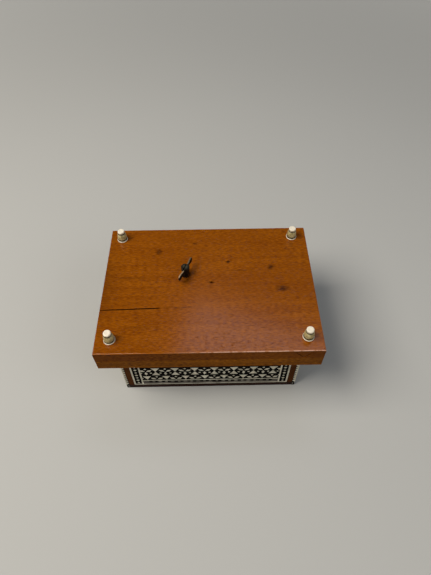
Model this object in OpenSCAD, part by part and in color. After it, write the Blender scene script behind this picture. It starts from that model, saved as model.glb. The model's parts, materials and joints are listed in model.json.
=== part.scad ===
// Inlaid musical jewellery box, lying on its lid with the winding key uppermost.
// The origin is at the centre of the lid's outer face. +X is to the right along the
// front, -Y is the front and +Z points from the lid to the plinth, the feet and the key.

/* [Case] */
// Width of the case over its side panels
case_w = 155; // [145:1:200]
// Depth of the case over its front and back panels
case_d = 107; // [104:1:150]
// Height of the case walls between the lid and the plinth
case_h = 57; // [54:1:90]
// Thickness of the wall boards
board_t = 5; // [4:0.5:7]
// Thickness of the marquetry panels on the walls
panel_t = 2.5; // [2:0.1:3.5]
// Thickness of the velvet lining on its card
lining_t = 0.8; // [0.6:0.1:1.5]

/* [Lid] */
// Thickness of the lid, which is also the height of its edging
lid_t = 6; // [5.5:0.5:10]
// Width of the edging strips round the lid
edging_w = 2.5; // [2:0.5:5]
// Thickness of the marquetry panel on the lid
lid_panel_t = 1.6; // [1.4:0.1:2.5]
// Thickness of the padded lining inside the lid
lid_pad_t = 1.2; // [0.8:0.1:2]

/* [Plinth] */
// How far the plinth stands out past the case on every side
overhang = 12.3; // [8:0.1:16]
// Height of the mitred rails under the base board
rail_h = 11.5; // [8:0.5:18]
// Thickness of the base board
base_t = 11.5; // [8:0.5:16]
// Rounding of the long edges and corners of the base board
base_edge_r = 0.8; // [0.5:0.1:2.5]
// Diameter of the hole in the base board round the winding arbor
key_hole_d = 8; // [6.5:0.5:10]
// Diameter of the movement screws' pilot holes in the base board
pilot_d = 2.4; // [2.2:0.1:3]

/* [Feet] */
// Height of a foot above the base board
foot_h = 11; // [8:0.5:20]
// Diameter of the flange at the root of a foot
foot_flange_d = 9.2; // [8.6:0.2:14]
// Diameter of the turned barrel of a foot, at its widest
foot_barrel_d = 8.2; // [6.6:0.2:12]
// Diameter of the button at the tip of a foot
foot_tip_d = 6; // [4:0.2:8]
// Distance from the plinth's sides to the place marked out for a foot
foot_inset = 11.8; // [8:0.2:20]
// Diameter of the glued peg of a foot
foot_peg_d = 4; // [3:0.5:5]

/* [Key] */
// Place of the winding arbor to the right of the centre (to the left, if below 0)
key_x = -19.7; // [-30:0.1:-10]
// Place of the winding arbor behind the centre
key_y = 11.5; // [6:0.1:14]
// Height of the hub's end above the base board
key_h = 10.7; // [9:0.1:16]
// Diameter of the head of the key's hub
key_hub_d = 7.2; // [5.6:0.1:9]
// Diameter of the hub below its head
key_neck_d = 6.2; // [4.6:0.1:7]
// Span of the key over its two wings
key_span = 25.4; // [18:0.1:34]
// Height of a wing at its outer end
key_wing_h = 5.6; // [4:0.1:8]
// Thickness of the wings
key_wing_t = 1.1; // [0.8:0.1:1.6]
// Angle at which the key was left, from +X towards +Y
key_angle = 66; // [0:1:180]

/* [Hinges] */
// Width of one butt hinge
hinge_w = 20; // [14:1:28]
// Distance of each hinge's middle from the centre of the back
hinge_x = 46; // [30:1:52]
// Diameter of the hinge barrel
hinge_barrel_d = 3; // [2.4:0.2:4]
// Diameter of the hinge pin
hinge_pin_d = 1.4; // [1:0.1:1.8]
// Thickness of a hinge leaf
hinge_leaf_t = 0.8; // [0.6:0.1:1.2]

/* [Marquetry] */
// Side of one triangle, which is also the side of one six-pointed cell
tile_side = 8.62; // [6:0.01:12]
// Depth of the bone pieces let into the dark ground
tile_t = 0.8; // [0.5:0.1:1.2]
// Least width of dark ground between neighbouring bone pieces
tile_gap = 0.6; // [0.2:0.1:0.8]
// Width of the bone stringing on both sides of the border band
string_w = 1.4; // [1:0.1:2.5]
// Width of the border band between its stringing
band_w = 5.8; // [4:0.1:8]
// Spacing of the lozenges along the upright bands
lozenge_pitch = 4.8; // [4.4:0.1:9]
// Spacing of the pairs of dark squares along the level bands
pair_pitch = 11.5; // [11:0.1:18]

/* [Movement] */
// Thickness of the bedplate
bed_t = 3; // [2.4:0.2:4]
// Diameter of the winding arbor
arbor_d = 3; // [2.4:0.1:3.6]
// Outer diameter of the spring barrel
barrel_d = 25; // [22:0.5:25]
// Height of the spring barrel above the bedplate
barrel_h = 6; // [5:0.2:6]
// Height of the cylinder's axis above the bedplate's inner face
axis_h = 15; // [15:0.1:16]
// Diameter of the cylinder
cyl_d = 13; // [11:0.5:13]
// Number of notes, each with one comb tooth and one track of pins
notes = 18; // [12:1:20]
// Spacing of the notes along the cylinder
note_pitch = 1; // [0.9:0.05:1]
// Reach of the pins above the cylinder
pin_h = 0.6; // [0.4:0.1:0.6]
// Thickness of the comb
comb_t = 1.2; // [0.8:0.1:1.6]
// Radial running clearance of the shafts
run_gap = 0.05; // [0.02:0.01:0.09]
// Radial clearance of pressed and screwed pieces
seat_gap = 0.02; // [0.01:0.01:0.05]

/* [Stop] */
// Diameter of the stop rod
rod_d = 1.5; // [1:0.1:2]
// Distance of the stop rod from the inner face of the back wall
rod_inset = 3.6; // [3.4:0.1:6]

/* [Hidden] */
$fn = 48;

// Levels and half sizes of the carcase
half_w = case_w / 2;
half_d = case_d / 2;
in_x = half_w - panel_t - board_t;
in_y = half_d - panel_t - board_t;
z_rim = lid_t;
z_plinth = lid_t + case_h;
z_board = z_plinth + rail_h;
z_top = z_board + base_t;
rail_w = overhang + panel_t + board_t;
plinth_w = case_w + 2 * overhang;
plinth_d = case_d + 2 * overhang;
lid_w = case_w - 2 * panel_t;
half_lid = lid_w / 2;

// The floor panel hides the movement, with a little air above its tallest piece
movement_h = axis_h + 7;
floor_air = 1.5;
floor_t = 3;
floor_pile_t = 1;
batten_w = 5;
batten_h = 5;
z_floor = z_board - movement_h - floor_air - floor_t;
pad_gap = 0.4;

// Frame of the butt hinges, whose pins lie just clear of the back
hinge_r = hinge_barrel_d / 2;
hinge_y = half_d + hinge_r + 0.2;
hinge_leaf_in = 7;
hinge_knuckle = hinge_w / 3;
hinge_end_gap = 0.15;
hinge_screw_y = half_d - 5;
hinge_screw_x = hinge_w / 2 - 4;
hinge_screw_d = 1.6;
hinge_screw_l = 3.4;
hinge_sides = [-1, 1];

// Feet
foot_x = plinth_w / 2 - foot_inset;
foot_y = plinth_d / 2 - foot_inset;
foot_flange_h = 1.1;
foot_peg_l = 6;
// Outline of a foot: shares of its height and width, then depths and roundings
foot_neck = 0.75;
foot_waist = 0.15;
foot_taper = 0.7;
foot_steps = 8;
foot_groove = 0.45;
foot_ease = 0.3;
foot_dish = 0.25;
foot_round = 0.6;
// How far each foot was set from its mark, by eye: front left, front right, back left, back right
foot_shift = [[0.1, 0.8], [-0.4, 0.8], [-1, 0.2], [-1.4, 0.2]];

// Marquetry lattice
cell_w = 2 * tile_side;
cell_h = tile_side * sqrt(3);
border_w = 2 * string_w + band_w;
front_shift = [-5.1, 24.9];
wall_shift = [0, 24.9];
lid_shift = [0, half_d - edging_w];
dash_pitch = 3.6;
dash_l = 2.4;
dash_t = 0.8;
dash_inset = 0.3;
dash_rise = 1;
lid_plate_l = 3.6;
lid_plate_pitch = 4.4;
lid_plate_edge = 0.9;
lozenge_margin = 2.4;
lozenge_sizes = [[3.3, 3], [2.6, 2.4]];
pair_gap = 5;
chequer = [2.8, 3.2];
chequer_rise = (band_w - chequer[1]) / 2;
wedge = [1.6, 1.6];

// Movement layout, in its own frame: origin on the arbor, x along the cylinder, z away
// from the base board
bearing_x = [13.2, 15.4];
cyl_x = 16;
cyl_l = notes * note_pitch;
cyl_r = cyl_d / 2;
pin_r = 0.2;
pins_per_note = 4;
arbor_end_x = 7;
shaft_d = 1.6;
gear_m = 0.3;
gear_teeth = 44;
gear_w = 1.6;
gear_x = cyl_x + cyl_l + 0.6;
right_bearing_x = gear_x + gear_w + 0.8;
bearing_w = 2;
leaf_teeth = 8;
wheel_teeth = 24;
worm_r = 1.2;
gov_y = gear_m * (gear_teeth + leaf_teeth) / 2;
wheel_x = right_bearing_x + 1.8;
wheel_w = 1.2;
worm_x = wheel_x + wheel_w / 2;
worm_y = gov_y + gear_m * wheel_teeth / 2 + worm_r;

// Crown wheel and the pinion that it turns
crown_teeth = 32;
pinion_teeth = 10;
crown_m = 0.6;
crown_r = crown_m * crown_teeth / 2;
pinion_r = crown_m * pinion_teeth / 2;
crown_face = 2.8;
z_mesh = axis_h - pinion_r;
z_crown_root = z_mesh - 0.75;
z_crown_tip = z_mesh + 0.4;
z_wheel = z_crown_root - 1.5;
hub_r = 2.4;
hub_top = z_crown_root + 1.1;
drum_h = 1.4;
clutch_wire = 0.4;
barrel_wall = 0.7;
barrel_r = barrel_d / 2;
spring_turns = 6;
spring_t = 0.35;
arbor_r = arbor_d / 2;
key_gap = 0.7;
key_head_l = 4.4;
key_ease = 0.6;
wing_root = 1.5;
z_wings = z_top + key_h - key_wing_h / 2 - 0.5;
key_arbor_end = z_wings - wing_root - 0.2 - z_board;

// Comb, with its tips just clear of the pins
comb_tip_y = cyl_r + pin_h + 0.15;
comb_root_y = comb_tip_y + 12;
comb_back_y = comb_root_y + 6.4;
comb_margin = 1;
tooth_w = 0.72;
z_comb = axis_h - 0.1;
comb_screw_x = [3.5, notes * note_pitch - 3.5];
comb_screw_y = comb_root_y + 3.1;

// Governor bracket and fly
fly_r = 4.6;
fly_z = bed_t + 1.7;
fly_h = 4.6;
leg_t = 1.2;
leg_x = [gear_x + gear_w + 0.7, wheel_x + wheel_w + 0.7];
bridge_z = axis_h + 5.2;
gov_shaft_r = 0.5;
pivot_r = 0.35;
bracket_screws = [[leg_x[0] - 2.4, gov_y - 1.4], [leg_x[1] + leg_t + 2, gov_y - 2.3]];

// Screws: radius of the shank, radius and height of the head
m_screw = [1.1, 2.2, 1.6];
c_screw = [1, 1.9, 1.4];
g_screw = [0.8, 1.5, 1.2];
fixing_l = 9;
bed_x = 44.5;
bed_y = [26.5, 17];
block_r = 2.6;
crown_root_w = 0.8;
crown_tip_w = 0.4;
fixings = [[37.1, -13.5], [22.3, 9.3], [-9, -16]];
screw_slot = 0.5;

// Stop rod: a leg beside the back wall and an arm that ends beside the fly
rod_r = rod_d / 2;
rod_x = key_x + leg_x[1] + 5.3;
rod_y = in_y - rod_inset;
rod_tip_z = z_rim + lid_pad_t + pad_gap;
arm_z = z_board - fly_z - fly_h / 2 - 0.2;
arm_end_y = key_y - worm_y;
finger_x = key_x + worm_x + fly_r + 0.35;
bush_r = rod_r + 0.7;

// ---- Shared shapes ----

// A box from one corner to the other
module block(a, b) {
    translate(a) cube(b - a);
}

// Stands a wall panel upright with its inner face on the wall boards: the panel's x runs
// along the wall, its y up from the rim and its z outwards
module on_wall(angle, distance) {
    rotate([0, 0, angle])
        translate([0, -distance, z_rim])
            rotate([90, 0, 0]) children();
}

// Places a piece of the movement, whose z points away from the base board
module in_movement() {
    translate([key_x, key_y, z_board]) rotate([180, 0, 0]) children();
}

// Lays a flat outline across the cylinder's axis and gives it a width along x
module along_x(x, width) {
    translate([x, 0, 0]) rotate([90, 0, 90]) linear_extrude(width) children();
}

// Slotted pan-head screw, head up, seated at z = 0
module screw(size, length) {
    difference() {
        union() {
            translate([0, 0, -length]) cylinder(h = length + size[2] / 2, r = size[0]);
            cylinder(h = size[2], r1 = size[1], r2 = size[1] * 0.86);
        }
        translate([-size[1], -screw_slot / 2, size[2] * 0.55])
            cube([2 * size[1], screw_slot, size[2]]);
    }
}

// Outline of a spur gear with straight-sided teeth, one of them on +x
function polar(r, a) = [r * cos(a), r * sin(a)];
function tooth_half(width, r) = asin(width / 2 / r);

module gear_outline(teeth, root, tip, root_w, tip_w, bore) {
    difference() {
        polygon([
            for (i = [0:teeth - 1], p = [[root, -root_w], [tip, -tip_w], [tip, tip_w], [root, root_w]])
                polar(p[0], i * 360 / teeth + sign(p[1]) * tooth_half(abs(p[1]), p[0]))
        ]);
        circle(r = bore);
    }
}

// A section of [radius, height] corners swept along a helix that climbs by rise in all
module helix(section, rise, turns) {
    steps = 16;
    count = steps * turns;
    n = len(section);
    points = [
        for (i = [0:count], c = section)
            let (a = i * 360 / steps) [c[0] * cos(a), c[0] * sin(a), c[1] + i * rise / count]
    ];
    sides = [
        for (i = [0:count - 1], k = [0:n - 1])
            let (next = (k + 1) % n) [n * i + k, n * i + n + k, n * i + n + next, n * i + next]
    ];
    polyhedron(points, concat([[for (k = [0:n - 1]) k]], sides, [[for (k = [n - 1:-1:0]) n * count + k]]));
}

// Coil of square wire, of the given inner radius and overall height
module coil(inner_r, wire, height, turns) {
    helix([[inner_r, 0], [inner_r + wire, 0], [inner_r + wire, wire], [inner_r, wire]], height - wire, turns);
}

// ---- Marquetry ----

module lozenge(long, short) {
    polygon([[long / 2, 0], [0, short / 2], [-long / 2, 0], [0, -short / 2]]);
}

// One six-sided cell: three long petals and three seeds between them
module cell_star() {
    petal = tile_side * 0.68;
    seed = tile_side * 0.28;
    for (a = [30, 150, 270])
        rotate(a) translate([petal / 2 + tile_gap, 0]) lozenge(petal, petal * 0.5);
    for (a = [90, 210, 330])
        rotate(a) translate([cell_h / 2 - seed / 2 - tile_gap * 2, 0]) lozenge(seed, seed);
}

// Two triangles point to point, on the corner between two cells
module cell_bow() {
    side = tile_side - 2 * tile_gap;
    rise = side * sqrt(3) / 2;
    for (turn = [0, 180])
        rotate(turn)
            polygon([[0, tile_gap / 2], [side / 2, rise], [-side / 2, rise]]);
}

// The lattice of cells over a field of w by h, centred on x, with one cell at shift
module lattice(w, h, shift) {
    columns = ceil(w / cell_w / 2) + 1;
    rows = ceil(h / cell_h) + 1;
    first = floor(-shift[1] / cell_h) - 1;
    intersection() {
        translate([-w / 2, 0]) square([w, h]);
        for (j = [first:first + rows + 1], i = [-columns:columns]) {
            x = shift[0] + (i + (abs(j) % 2) / 2) * cell_w;
            y = shift[1] + j * cell_h;
            translate([x, y]) cell_star();
            translate([x + tile_side, y]) cell_bow();
        }
    }
}

// An upright band of length l: lozenges on dark ground, tall and flat in turn, spaced to
// fill it
module lozenge_band(l) {
    run = l - lozenge_margin * 2;
    count = round(run / lozenge_pitch / 2);
    for (i = [-count:count])
        translate([i * run / count / 2, 0])
            lozenge(lozenge_sizes[abs(i) % 2][0], lozenge_sizes[abs(i) % 2][1]);
}

// A level band of length l: bone ground with dark squares in pairs, each with a wedge on
// its outer side. inner is the side, 1 or -1, on which the lattice lies
module chequer_band(l, inner) {
    count = floor((l / 2 - pair_gap / 2 - chequer[0] / 2 - wedge[0]) / pair_pitch + 0.5);
    difference() {
        translate([-l / 2, -band_w / 2]) square([l, band_w]);
        for (i = [-count:count - 1], s = [-1, 1])
            translate([(i + 0.5) * pair_pitch + s * pair_gap / 2, inner * chequer_rise])
                polygon([
                    [-s * chequer[0] / 2, -chequer[1] / 2], [s * chequer[0] / 2, -chequer[1] / 2],
                    [s * chequer[0] / 2, -wedge[1] / 2], [s * (chequer[0] / 2 + wedge[0]), 0],
                    [s * chequer[0] / 2, wedge[1] / 2], [s * chequer[0] / 2, chequer[1] / 2],
                    [-s * chequer[0] / 2, chequer[1] / 2]
                ]);
    }
}

// Frame of stringing whose outer edge is w by h, standing on y = 0 and centred on x
module string_frame(w, h, inset) {
    translate([0, inset])
        difference() {
            translate([-w / 2 + inset, 0]) square([w - 2 * inset, h - 2 * inset]);
            translate([-w / 2 + inset + string_w, string_w])
                square([w - 2 * inset - 2 * string_w, h - 2 * inset - 2 * string_w]);
        }
}

// All the bone in a panel of w by h
module bone_outline(w, h, shift) {
    band_middle = string_w + band_w / 2;
    string_frame(w, h, 0);
    string_frame(w, h, string_w + band_w);
    for (side = [1, -1])
        translate([0, h / 2 - side * (h / 2 - band_middle)])
            chequer_band(w - 2 * (string_w + band_w), side);
    for (x = [-w / 2 + band_middle, w / 2 - band_middle])
        translate([x, h / 2]) rotate(90) lozenge_band(h - 2 * string_w);
    translate([0, border_w])
        lattice(w - 2 * border_w, h - 2 * border_w, [shift[0], shift[1] - border_w]);
}

// A panel's dark ground, with the beds of the bone cut into its outer face
module ground(w, h, t, shift) {
    color("#15110e") {
        translate([-w / 2, 0, 0]) cube([w, h, t - tile_t]);
        translate([0, 0, t - tile_t]) linear_extrude(tile_t)
            difference() {
                translate([-w / 2, 0]) square([w, h]);
                bone_outline(w, h, shift);
            }
    }
}

module bone(w, h, t, shift) {
    color("#cfc9ba") translate([0, 0, t - tile_t]) linear_extrude(tile_t) bone_outline(w, h, shift);
}

// ---- Lid ----

// The bed of both leaves of one hinge, on the seam between lid and case
module hinge_beds(z, depth) {
    for (s = hinge_sides)
        translate([s * hinge_x - hinge_w / 2 - seat_gap, half_d - hinge_leaf_in - seat_gap, z])
            cube([hinge_w + 2 * seat_gap, hinge_leaf_in + 1, depth]);
}

// Two pilot holes in each hinge, or whatever is placed where they are
module at_hinge_screws(z) {
    for (s = hinge_sides, e = [-1, 1])
        translate([s * hinge_x + e * hinge_screw_x, hinge_screw_y, z]) children();
}

module hinge_pilot() {
    translate([0, 0, -hinge_screw_l - 0.1]) cylinder(h = hinge_screw_l + 1, d = hinge_screw_d + 2 * seat_gap);
}

module lid_board() {
    color("#4a2f1c") difference() {
        block([-half_lid + edging_w, -half_d + edging_w, lid_panel_t], [half_lid - edging_w, half_d - edging_w, lid_t]);
        hinge_beds(lid_t - hinge_leaf_t - seat_gap, 2);
        at_hinge_screws(lid_t) hinge_pilot();
    }
}

// A strip along the front of a frame, mitred at both ends
module mitred_strip(w, d, width) {
    polygon([[-w / 2, -d / 2], [w / 2, -d / 2], [w / 2 - width, -d / 2 + width], [-w / 2 + width, -d / 2 + width]]);
}

module lid_edging() {
    color("#3a2214") difference() {
        for (a = [0, 180]) {
            rotate(a) linear_extrude(lid_t) mitred_strip(lid_w, case_d, edging_w);
            rotate(a + 90) linear_extrude(lid_t) mitred_strip(case_d, lid_w, edging_w);
        }
        hinge_beds(lid_t - hinge_leaf_t - seat_gap, 2);
    }
}

// The lid's panel faces down, so its bone is let into the face at z = 0
module on_lid() {
    translate([0, -half_d + edging_w, lid_panel_t]) mirror([0, 0, 1]) children();
}

module lid_marquetry() {
    on_lid() ground(lid_w - 2 * edging_w, case_d - 2 * edging_w, lid_panel_t, lid_shift);
}

module lid_inlay() {
    on_lid() bone(lid_w - 2 * edging_w, case_d - 2 * edging_w, lid_panel_t, lid_shift);
}

// Bone let into the strips that carry the side panels on over the lid's ends: a row of
// plates along the outer face and one plate in each end. grow widens the beds' open side
module lid_side_plates(grow) {
    count = floor((case_d - lid_plate_l) / lid_plate_pitch / 2);
    for (side = [-1, 1]) {
        face = side * (half_w + grow);
        for (i = [-count:count])
            block([min(face, side * (half_w - tile_t)), i * lid_plate_pitch - lid_plate_l / 2, lid_plate_edge],
                  [max(face, side * (half_w - tile_t)), i * lid_plate_pitch + lid_plate_l / 2, lid_t - lid_plate_edge]);
        for (end = [-1, 1]) {
            x = [side * (half_w - panel_t + dash_inset), side * (half_w - tile_t - dash_inset)];
            y = [end * (half_d - dash_t), end * (half_d + grow)];
            block([min(x), min(y), lid_plate_edge], [max(x), max(y), lid_t - lid_plate_edge]);
        }
    }
}

module lid_side_marquetry() {
    color("#15110e") difference() {
        for (side = [-1, 1])
            translate([side * (half_w - panel_t / 2) - panel_t / 2, -half_d, 0]) cube([panel_t, case_d, lid_t]);
        lid_side_plates(1);
    }
}

module lid_side_inlay() {
    color("#cfc9ba") lid_side_plates(0);
}

module lid_lining() {
    x = in_x - lining_t - pad_gap;
    y = in_y - lining_t - pad_gap;
    color("#8c1226") block([-x, -y, lid_t], [x, y, lid_t + lid_pad_t]);
}

// ---- Hinges ----

// One leaf with its share of the barrel: side is -1 for the lid's leaf, below the seam
module hinge_leaf(side) {
    gap = hinge_end_gap / 2;
    own = side < 0 ? [[-hinge_w / 2, -hinge_knuckle / 2 - gap], [hinge_knuckle / 2 + gap, hinge_w / 2]]
                   : [[-hinge_knuckle / 2 + gap, hinge_knuckle / 2 - gap]];
    low = side < 0 ? -hinge_leaf_t : 0;
    color("#b8923f") difference() {
        translate([0, 0, z_rim]) union() {
            block([-hinge_w / 2, half_d - hinge_leaf_in, low], [hinge_w / 2, half_d - 0.1, low + hinge_leaf_t]);
            for (k = own) {
                block([k[0], half_d - 0.2, low], [k[1], hinge_y, low + hinge_leaf_t]);
                translate([k[0], hinge_y, 0]) rotate([0, 90, 0]) cylinder(h = k[1] - k[0], r = hinge_r);
            }
        }
        translate([-hinge_w, hinge_y, z_rim]) rotate([0, 90, 0]) cylinder(h = 2 * hinge_w, d = hinge_pin_d + 2 * run_gap);
        for (e = [-1, 1])
            translate([e * hinge_screw_x, hinge_screw_y, z_rim])
                rotate([side < 0 ? 0 : 180, 0, 0]) hinge_screw_form(seat_gap);
    }
}

// Countersunk wood screw, its head flush with the seam, pointing down
module hinge_screw_form(grow) {
    r = hinge_screw_d / 2 + grow;
    translate([0, 0, -hinge_screw_l]) cylinder(h = hinge_screw_l, r = r);
    translate([0, 0, -hinge_leaf_t]) cylinder(h = hinge_leaf_t, r1 = r, r2 = hinge_screw_d + grow);
}

module hinge_screw() {
    color("#a8873e") difference() {
        hinge_screw_form(0);
        translate([-hinge_screw_d, -screw_slot / 2, -0.35]) cube([2 * hinge_screw_d, screw_slot, 1]);
    }
}

module hinge_lid_leaves() {
    for (s = hinge_sides) translate([s * hinge_x, 0, 0]) hinge_leaf(-1);
}
module hinge_case_leaves() {
    for (s = hinge_sides) translate([s * hinge_x, 0, 0]) hinge_leaf(1);
}
module hinge_lid_screws() {
    at_hinge_screws(lid_t) hinge_screw();
}
module hinge_case_screws() {
    at_hinge_screws(lid_t) rotate([180, 0, 0]) hinge_screw();
}

// Each pin is headed over at both ends of its barrel
module hinge_pins() {
    head_l = 0.5;
    color("#a8873e") for (s = hinge_sides) translate([s * hinge_x, hinge_y, z_rim]) rotate([0, 90, 0]) {
        translate([0, 0, -hinge_w / 2 - head_l / 2]) cylinder(h = hinge_w + head_l, d = hinge_pin_d);
        for (e = [-1, 1])
            translate([0, 0, e * (hinge_w / 2 + head_l / 2 + 0.03) - head_l / 2]) cylinder(h = head_l, r = hinge_r - 0.4);
    }
}

// ---- Case ----

module wall_board(angle, distance, length) {
    color("#4a2a17") on_wall(angle, distance) translate([-length / 2, 0, -board_t]) cube([length, case_h, board_t]);
}

module front_board() {
    wall_board(0, half_d - panel_t, 2 * in_x);
}
module back_board() {
    difference() {
        wall_board(180, half_d - panel_t, 2 * in_x);
        hinge_beds(z_rim - 1, 1 + hinge_leaf_t + seat_gap);
        at_hinge_screws(z_rim) rotate([180, 0, 0]) hinge_pilot();
    }
}
module right_board() {
    wall_board(90, half_w - panel_t, case_d);
}
module left_board() {
    wall_board(270, half_w - panel_t, case_d);
}

module front_marquetry() {
    on_wall(0, half_d - panel_t) ground(2 * in_x, case_h, panel_t, front_shift);
}
module front_inlay() {
    on_wall(0, half_d - panel_t) bone(2 * in_x, case_h, panel_t, front_shift);
}
module back_marquetry() {
    difference() {
        on_wall(180, half_d - panel_t) ground(2 * in_x, case_h, panel_t, wall_shift);
        hinge_beds(z_rim - 1, 1 + hinge_leaf_t + seat_gap);
    }
}
module back_inlay() {
    difference() {
        on_wall(180, half_d - panel_t) bone(2 * in_x, case_h, panel_t, wall_shift);
        hinge_beds(z_rim - 1, 1 + hinge_leaf_t + seat_gap);
    }
}

// Bone dashes let into the front and back edges of a side panel
module edge_dashes(extra) {
    count = floor((case_h - dash_rise - dash_l / 2) / dash_pitch + 0.5);
    for (e = [-1, 1], i = [0:count - 1])
        translate([e * (half_d - dash_t / 2 + extra / 2), (i + 0.5) * dash_pitch + dash_rise, dash_inset])
            translate([-(dash_t + extra) / 2, -dash_l / 2, 0]) cube([dash_t + extra, dash_l, panel_t - tile_t - dash_inset]);
}

module side_ground(angle) {
    difference() {
        on_wall(angle, half_w - panel_t) ground(case_d, case_h, panel_t, wall_shift);
        on_wall(angle, half_w - panel_t) edge_dashes(1);
    }
}
module side_bone(angle) {
    on_wall(angle, half_w - panel_t) {
        bone(case_d, case_h, panel_t, wall_shift);
        color("#cfc9ba") edge_dashes(0);
    }
}

module right_marquetry() {
    side_ground(90);
}
module right_inlay() {
    side_bone(90);
}
module left_marquetry() {
    side_ground(270);
}
module left_inlay() {
    side_bone(270);
}

// Velvet on card round the four walls, from just above the lid's pad to the floor
module wall_lining() {
    low = z_rim + lid_pad_t + pad_gap;
    high = z_floor - floor_pile_t;
    color("#7d0f20") difference() {
        block([-in_x, -in_y, low], [in_x, in_y, high]);
        block([-in_x + lining_t, -in_y + lining_t, low - 1], [in_x - lining_t, in_y - lining_t, high + 1]);
    }
}

module floor_panel() {
    color("#6b4526") difference() {
        block([-in_x, -in_y, z_floor], [in_x, in_y, z_floor + floor_t]);
        translate([rod_x, rod_y, z_floor - 1]) cylinder(h = floor_t + 2, r = bush_r + seat_gap);
    }
}

module floor_lining() {
    color("#8c1226") difference() {
        block([-in_x, -in_y, z_floor - floor_pile_t], [in_x, in_y, z_floor]);
        translate([rod_x, rod_y, z_floor - floor_pile_t - 1]) cylinder(h = floor_pile_t + 2, r = bush_r + seat_gap);
    }
}

// Strips glued to the walls, on which the floor panel rests
module floor_battens() {
    low = z_floor + floor_t;
    color("#7a5230") difference() {
        for (s = [-1, 1]) {
            block([-in_x, min(s * in_y, s * (in_y - batten_w)), low],
                  [in_x, max(s * in_y, s * (in_y - batten_w)), low + batten_h]);
            block([min(s * in_x, s * (in_x - batten_w)), -in_y + batten_w, low],
                  [max(s * in_x, s * (in_x - batten_w)), in_y - batten_w, low + batten_h]);
        }
        translate([rod_x, rod_y, low - 1]) cylinder(h = batten_h + 2, r = bush_r + 0.6);
    }
}

// ---- Plinth ----

module rail(angle, w, d, width) {
    color("#7a3a14") translate([0, 0, z_plinth]) rotate(angle) linear_extrude(rail_h) mitred_strip(w, d, width);
}

module front_rail() {
    rail(0, plinth_w, plinth_d, rail_w);
}
module back_rail() {
    rail(180, plinth_w, plinth_d, rail_w);
}
module right_rail() {
    rail(90, plinth_d, plinth_w, rail_w);
}
module left_rail() {
    rail(270, plinth_d, plinth_w, rail_w);
}

// Outline of a board seen end on, with its two upper edges rounded
module rounded_board(w, h, r) {
    translate([-w / 2, 0]) square([w, h - r]);
    translate([-w / 2 + r, 0]) square([w - 2 * r, h]);
    for (s = [-1, 1]) translate([s * (w / 2 - r), h - r]) circle(r);
}

module base_board() {
    color("#a5510f") difference() {
        translate([0, 0, z_board]) intersection() {
            translate([0, plinth_d / 2, 0]) rotate([90, 0, 0]) linear_extrude(plinth_d) rounded_board(plinth_w, base_t, base_edge_r);
            translate([-plinth_w / 2, 0, 0]) along_x(0, plinth_w) rounded_board(plinth_d, base_t, base_edge_r);
        }
        translate([key_x, key_y, z_board - 1]) cylinder(h = base_t + 2, d = key_hole_d);
        in_movement() for (i = [0, 1])
            translate([fixings[i][0], fixings[i][1], -base_t - 1]) cylinder(h = base_t + 2, d = pilot_d);
        in_movement() translate([fixings[2][0], fixings[2][1], -fixing_l]) cylinder(h = fixing_l + 1, d = pilot_d);
        at_feet() translate([0, 0, -foot_peg_l - 0.2]) cylinder(h = foot_peg_l + 1, d = foot_peg_d + 2 * seat_gap);
    }
}

// ---- Feet ----

// Place of the foot with this number, counted as in foot_shift
function foot_place(i) = [
    (i % 2 * 2 - 1) * foot_x + foot_shift[i][0], (i < 2 ? -1 : 1) * foot_y + foot_shift[i][1], z_top
];

module at_feet() {
    for (i = [0:3]) translate(foot_place(i)) children();
}

// Turned foot: a thin flange, a swelling barrel and a shallow button with a dished end
module foot(i) {
    flange_r = foot_flange_d / 2;
    barrel = foot_barrel_d / 2;
    tip = foot_tip_d / 2;
    neck_z = foot_h * foot_neck;
    swell = [for (k = [0:foot_steps]) let (u = k / foot_steps) [
        barrel * (1 - foot_waist + foot_waist * sin(min(90, 270 * u))) - (barrel - tip) * foot_taper * u * u * u,
        foot_flange_h + u * (neck_z - foot_flange_h)
    ]];
    groove = [for (p = [[-foot_groove, 0.2], [-foot_groove, 0.4], [0, 0.7]]) [tip + p[0], neck_z + p[1]]];
    button = [for (a = [0:15:90])
        [tip - foot_round + foot_round * cos(a), foot_h - foot_round + foot_round * sin(a)]];
    color("#e4dcc6") translate(foot_place(i)) {
        rotate_extrude() polygon(concat(
            [[0, 0], [flange_r - foot_ease, 0], [flange_r, foot_ease],
             [flange_r, foot_flange_h - foot_ease], [flange_r - foot_ease, foot_flange_h]],
            swell, groove, button, [[tip - 2.5 * foot_round, foot_h], [0, foot_h - foot_dish]]));
        translate([0, 0, -foot_peg_l]) cylinder(h = foot_peg_l, d = foot_peg_d);
    }
}

module foot_front_left() {
    foot(0);
}
module foot_front_right() {
    foot(1);
}
module foot_back_left() {
    foot(2);
}
module foot_back_right() {
    foot(3);
}

// ---- Key ----

// Half height of the wings at distance x from the hub's axis
function wing_half(x) = let (u = min(1, max(0, (x - key_hub_d / 2) / (key_span / 2 - key_hub_d / 2 - 2)))) wing_root + (key_wing_h / 2 - wing_root) * u * u * (3 - 2 * u);

// One stamped plate through the hub, pinched at the middle, with round ends
module key_wings() {
    end = key_span / 2;
    corner = key_wing_h / 2 - key_ease;
    flare = [for (i = [0:8]) let (x = i * (end - corner) / 8) [x, wing_half(x)]];
    round = [for (i = [1:6]) let (a = 90 - i * 15) [end - corner + corner * cos(a), key_ease + corner * sin(a)]];
    upper = concat(flare, round);
    right = concat(upper, [for (i = [len(upper) - 1:-1:0]) [upper[i][0], -upper[i][1]]]);
    left = [for (i = [len(right) - 2:-1:1]) [-right[i][0], right[i][1]]];
    color("#3b342a") translate([key_x, key_y, z_wings]) rotate([0, 0, key_angle]) rotate([90, 0, 0])
        translate([0, 0, -key_wing_t / 2]) linear_extrude(key_wing_t) polygon(concat(right, left));
}

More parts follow.
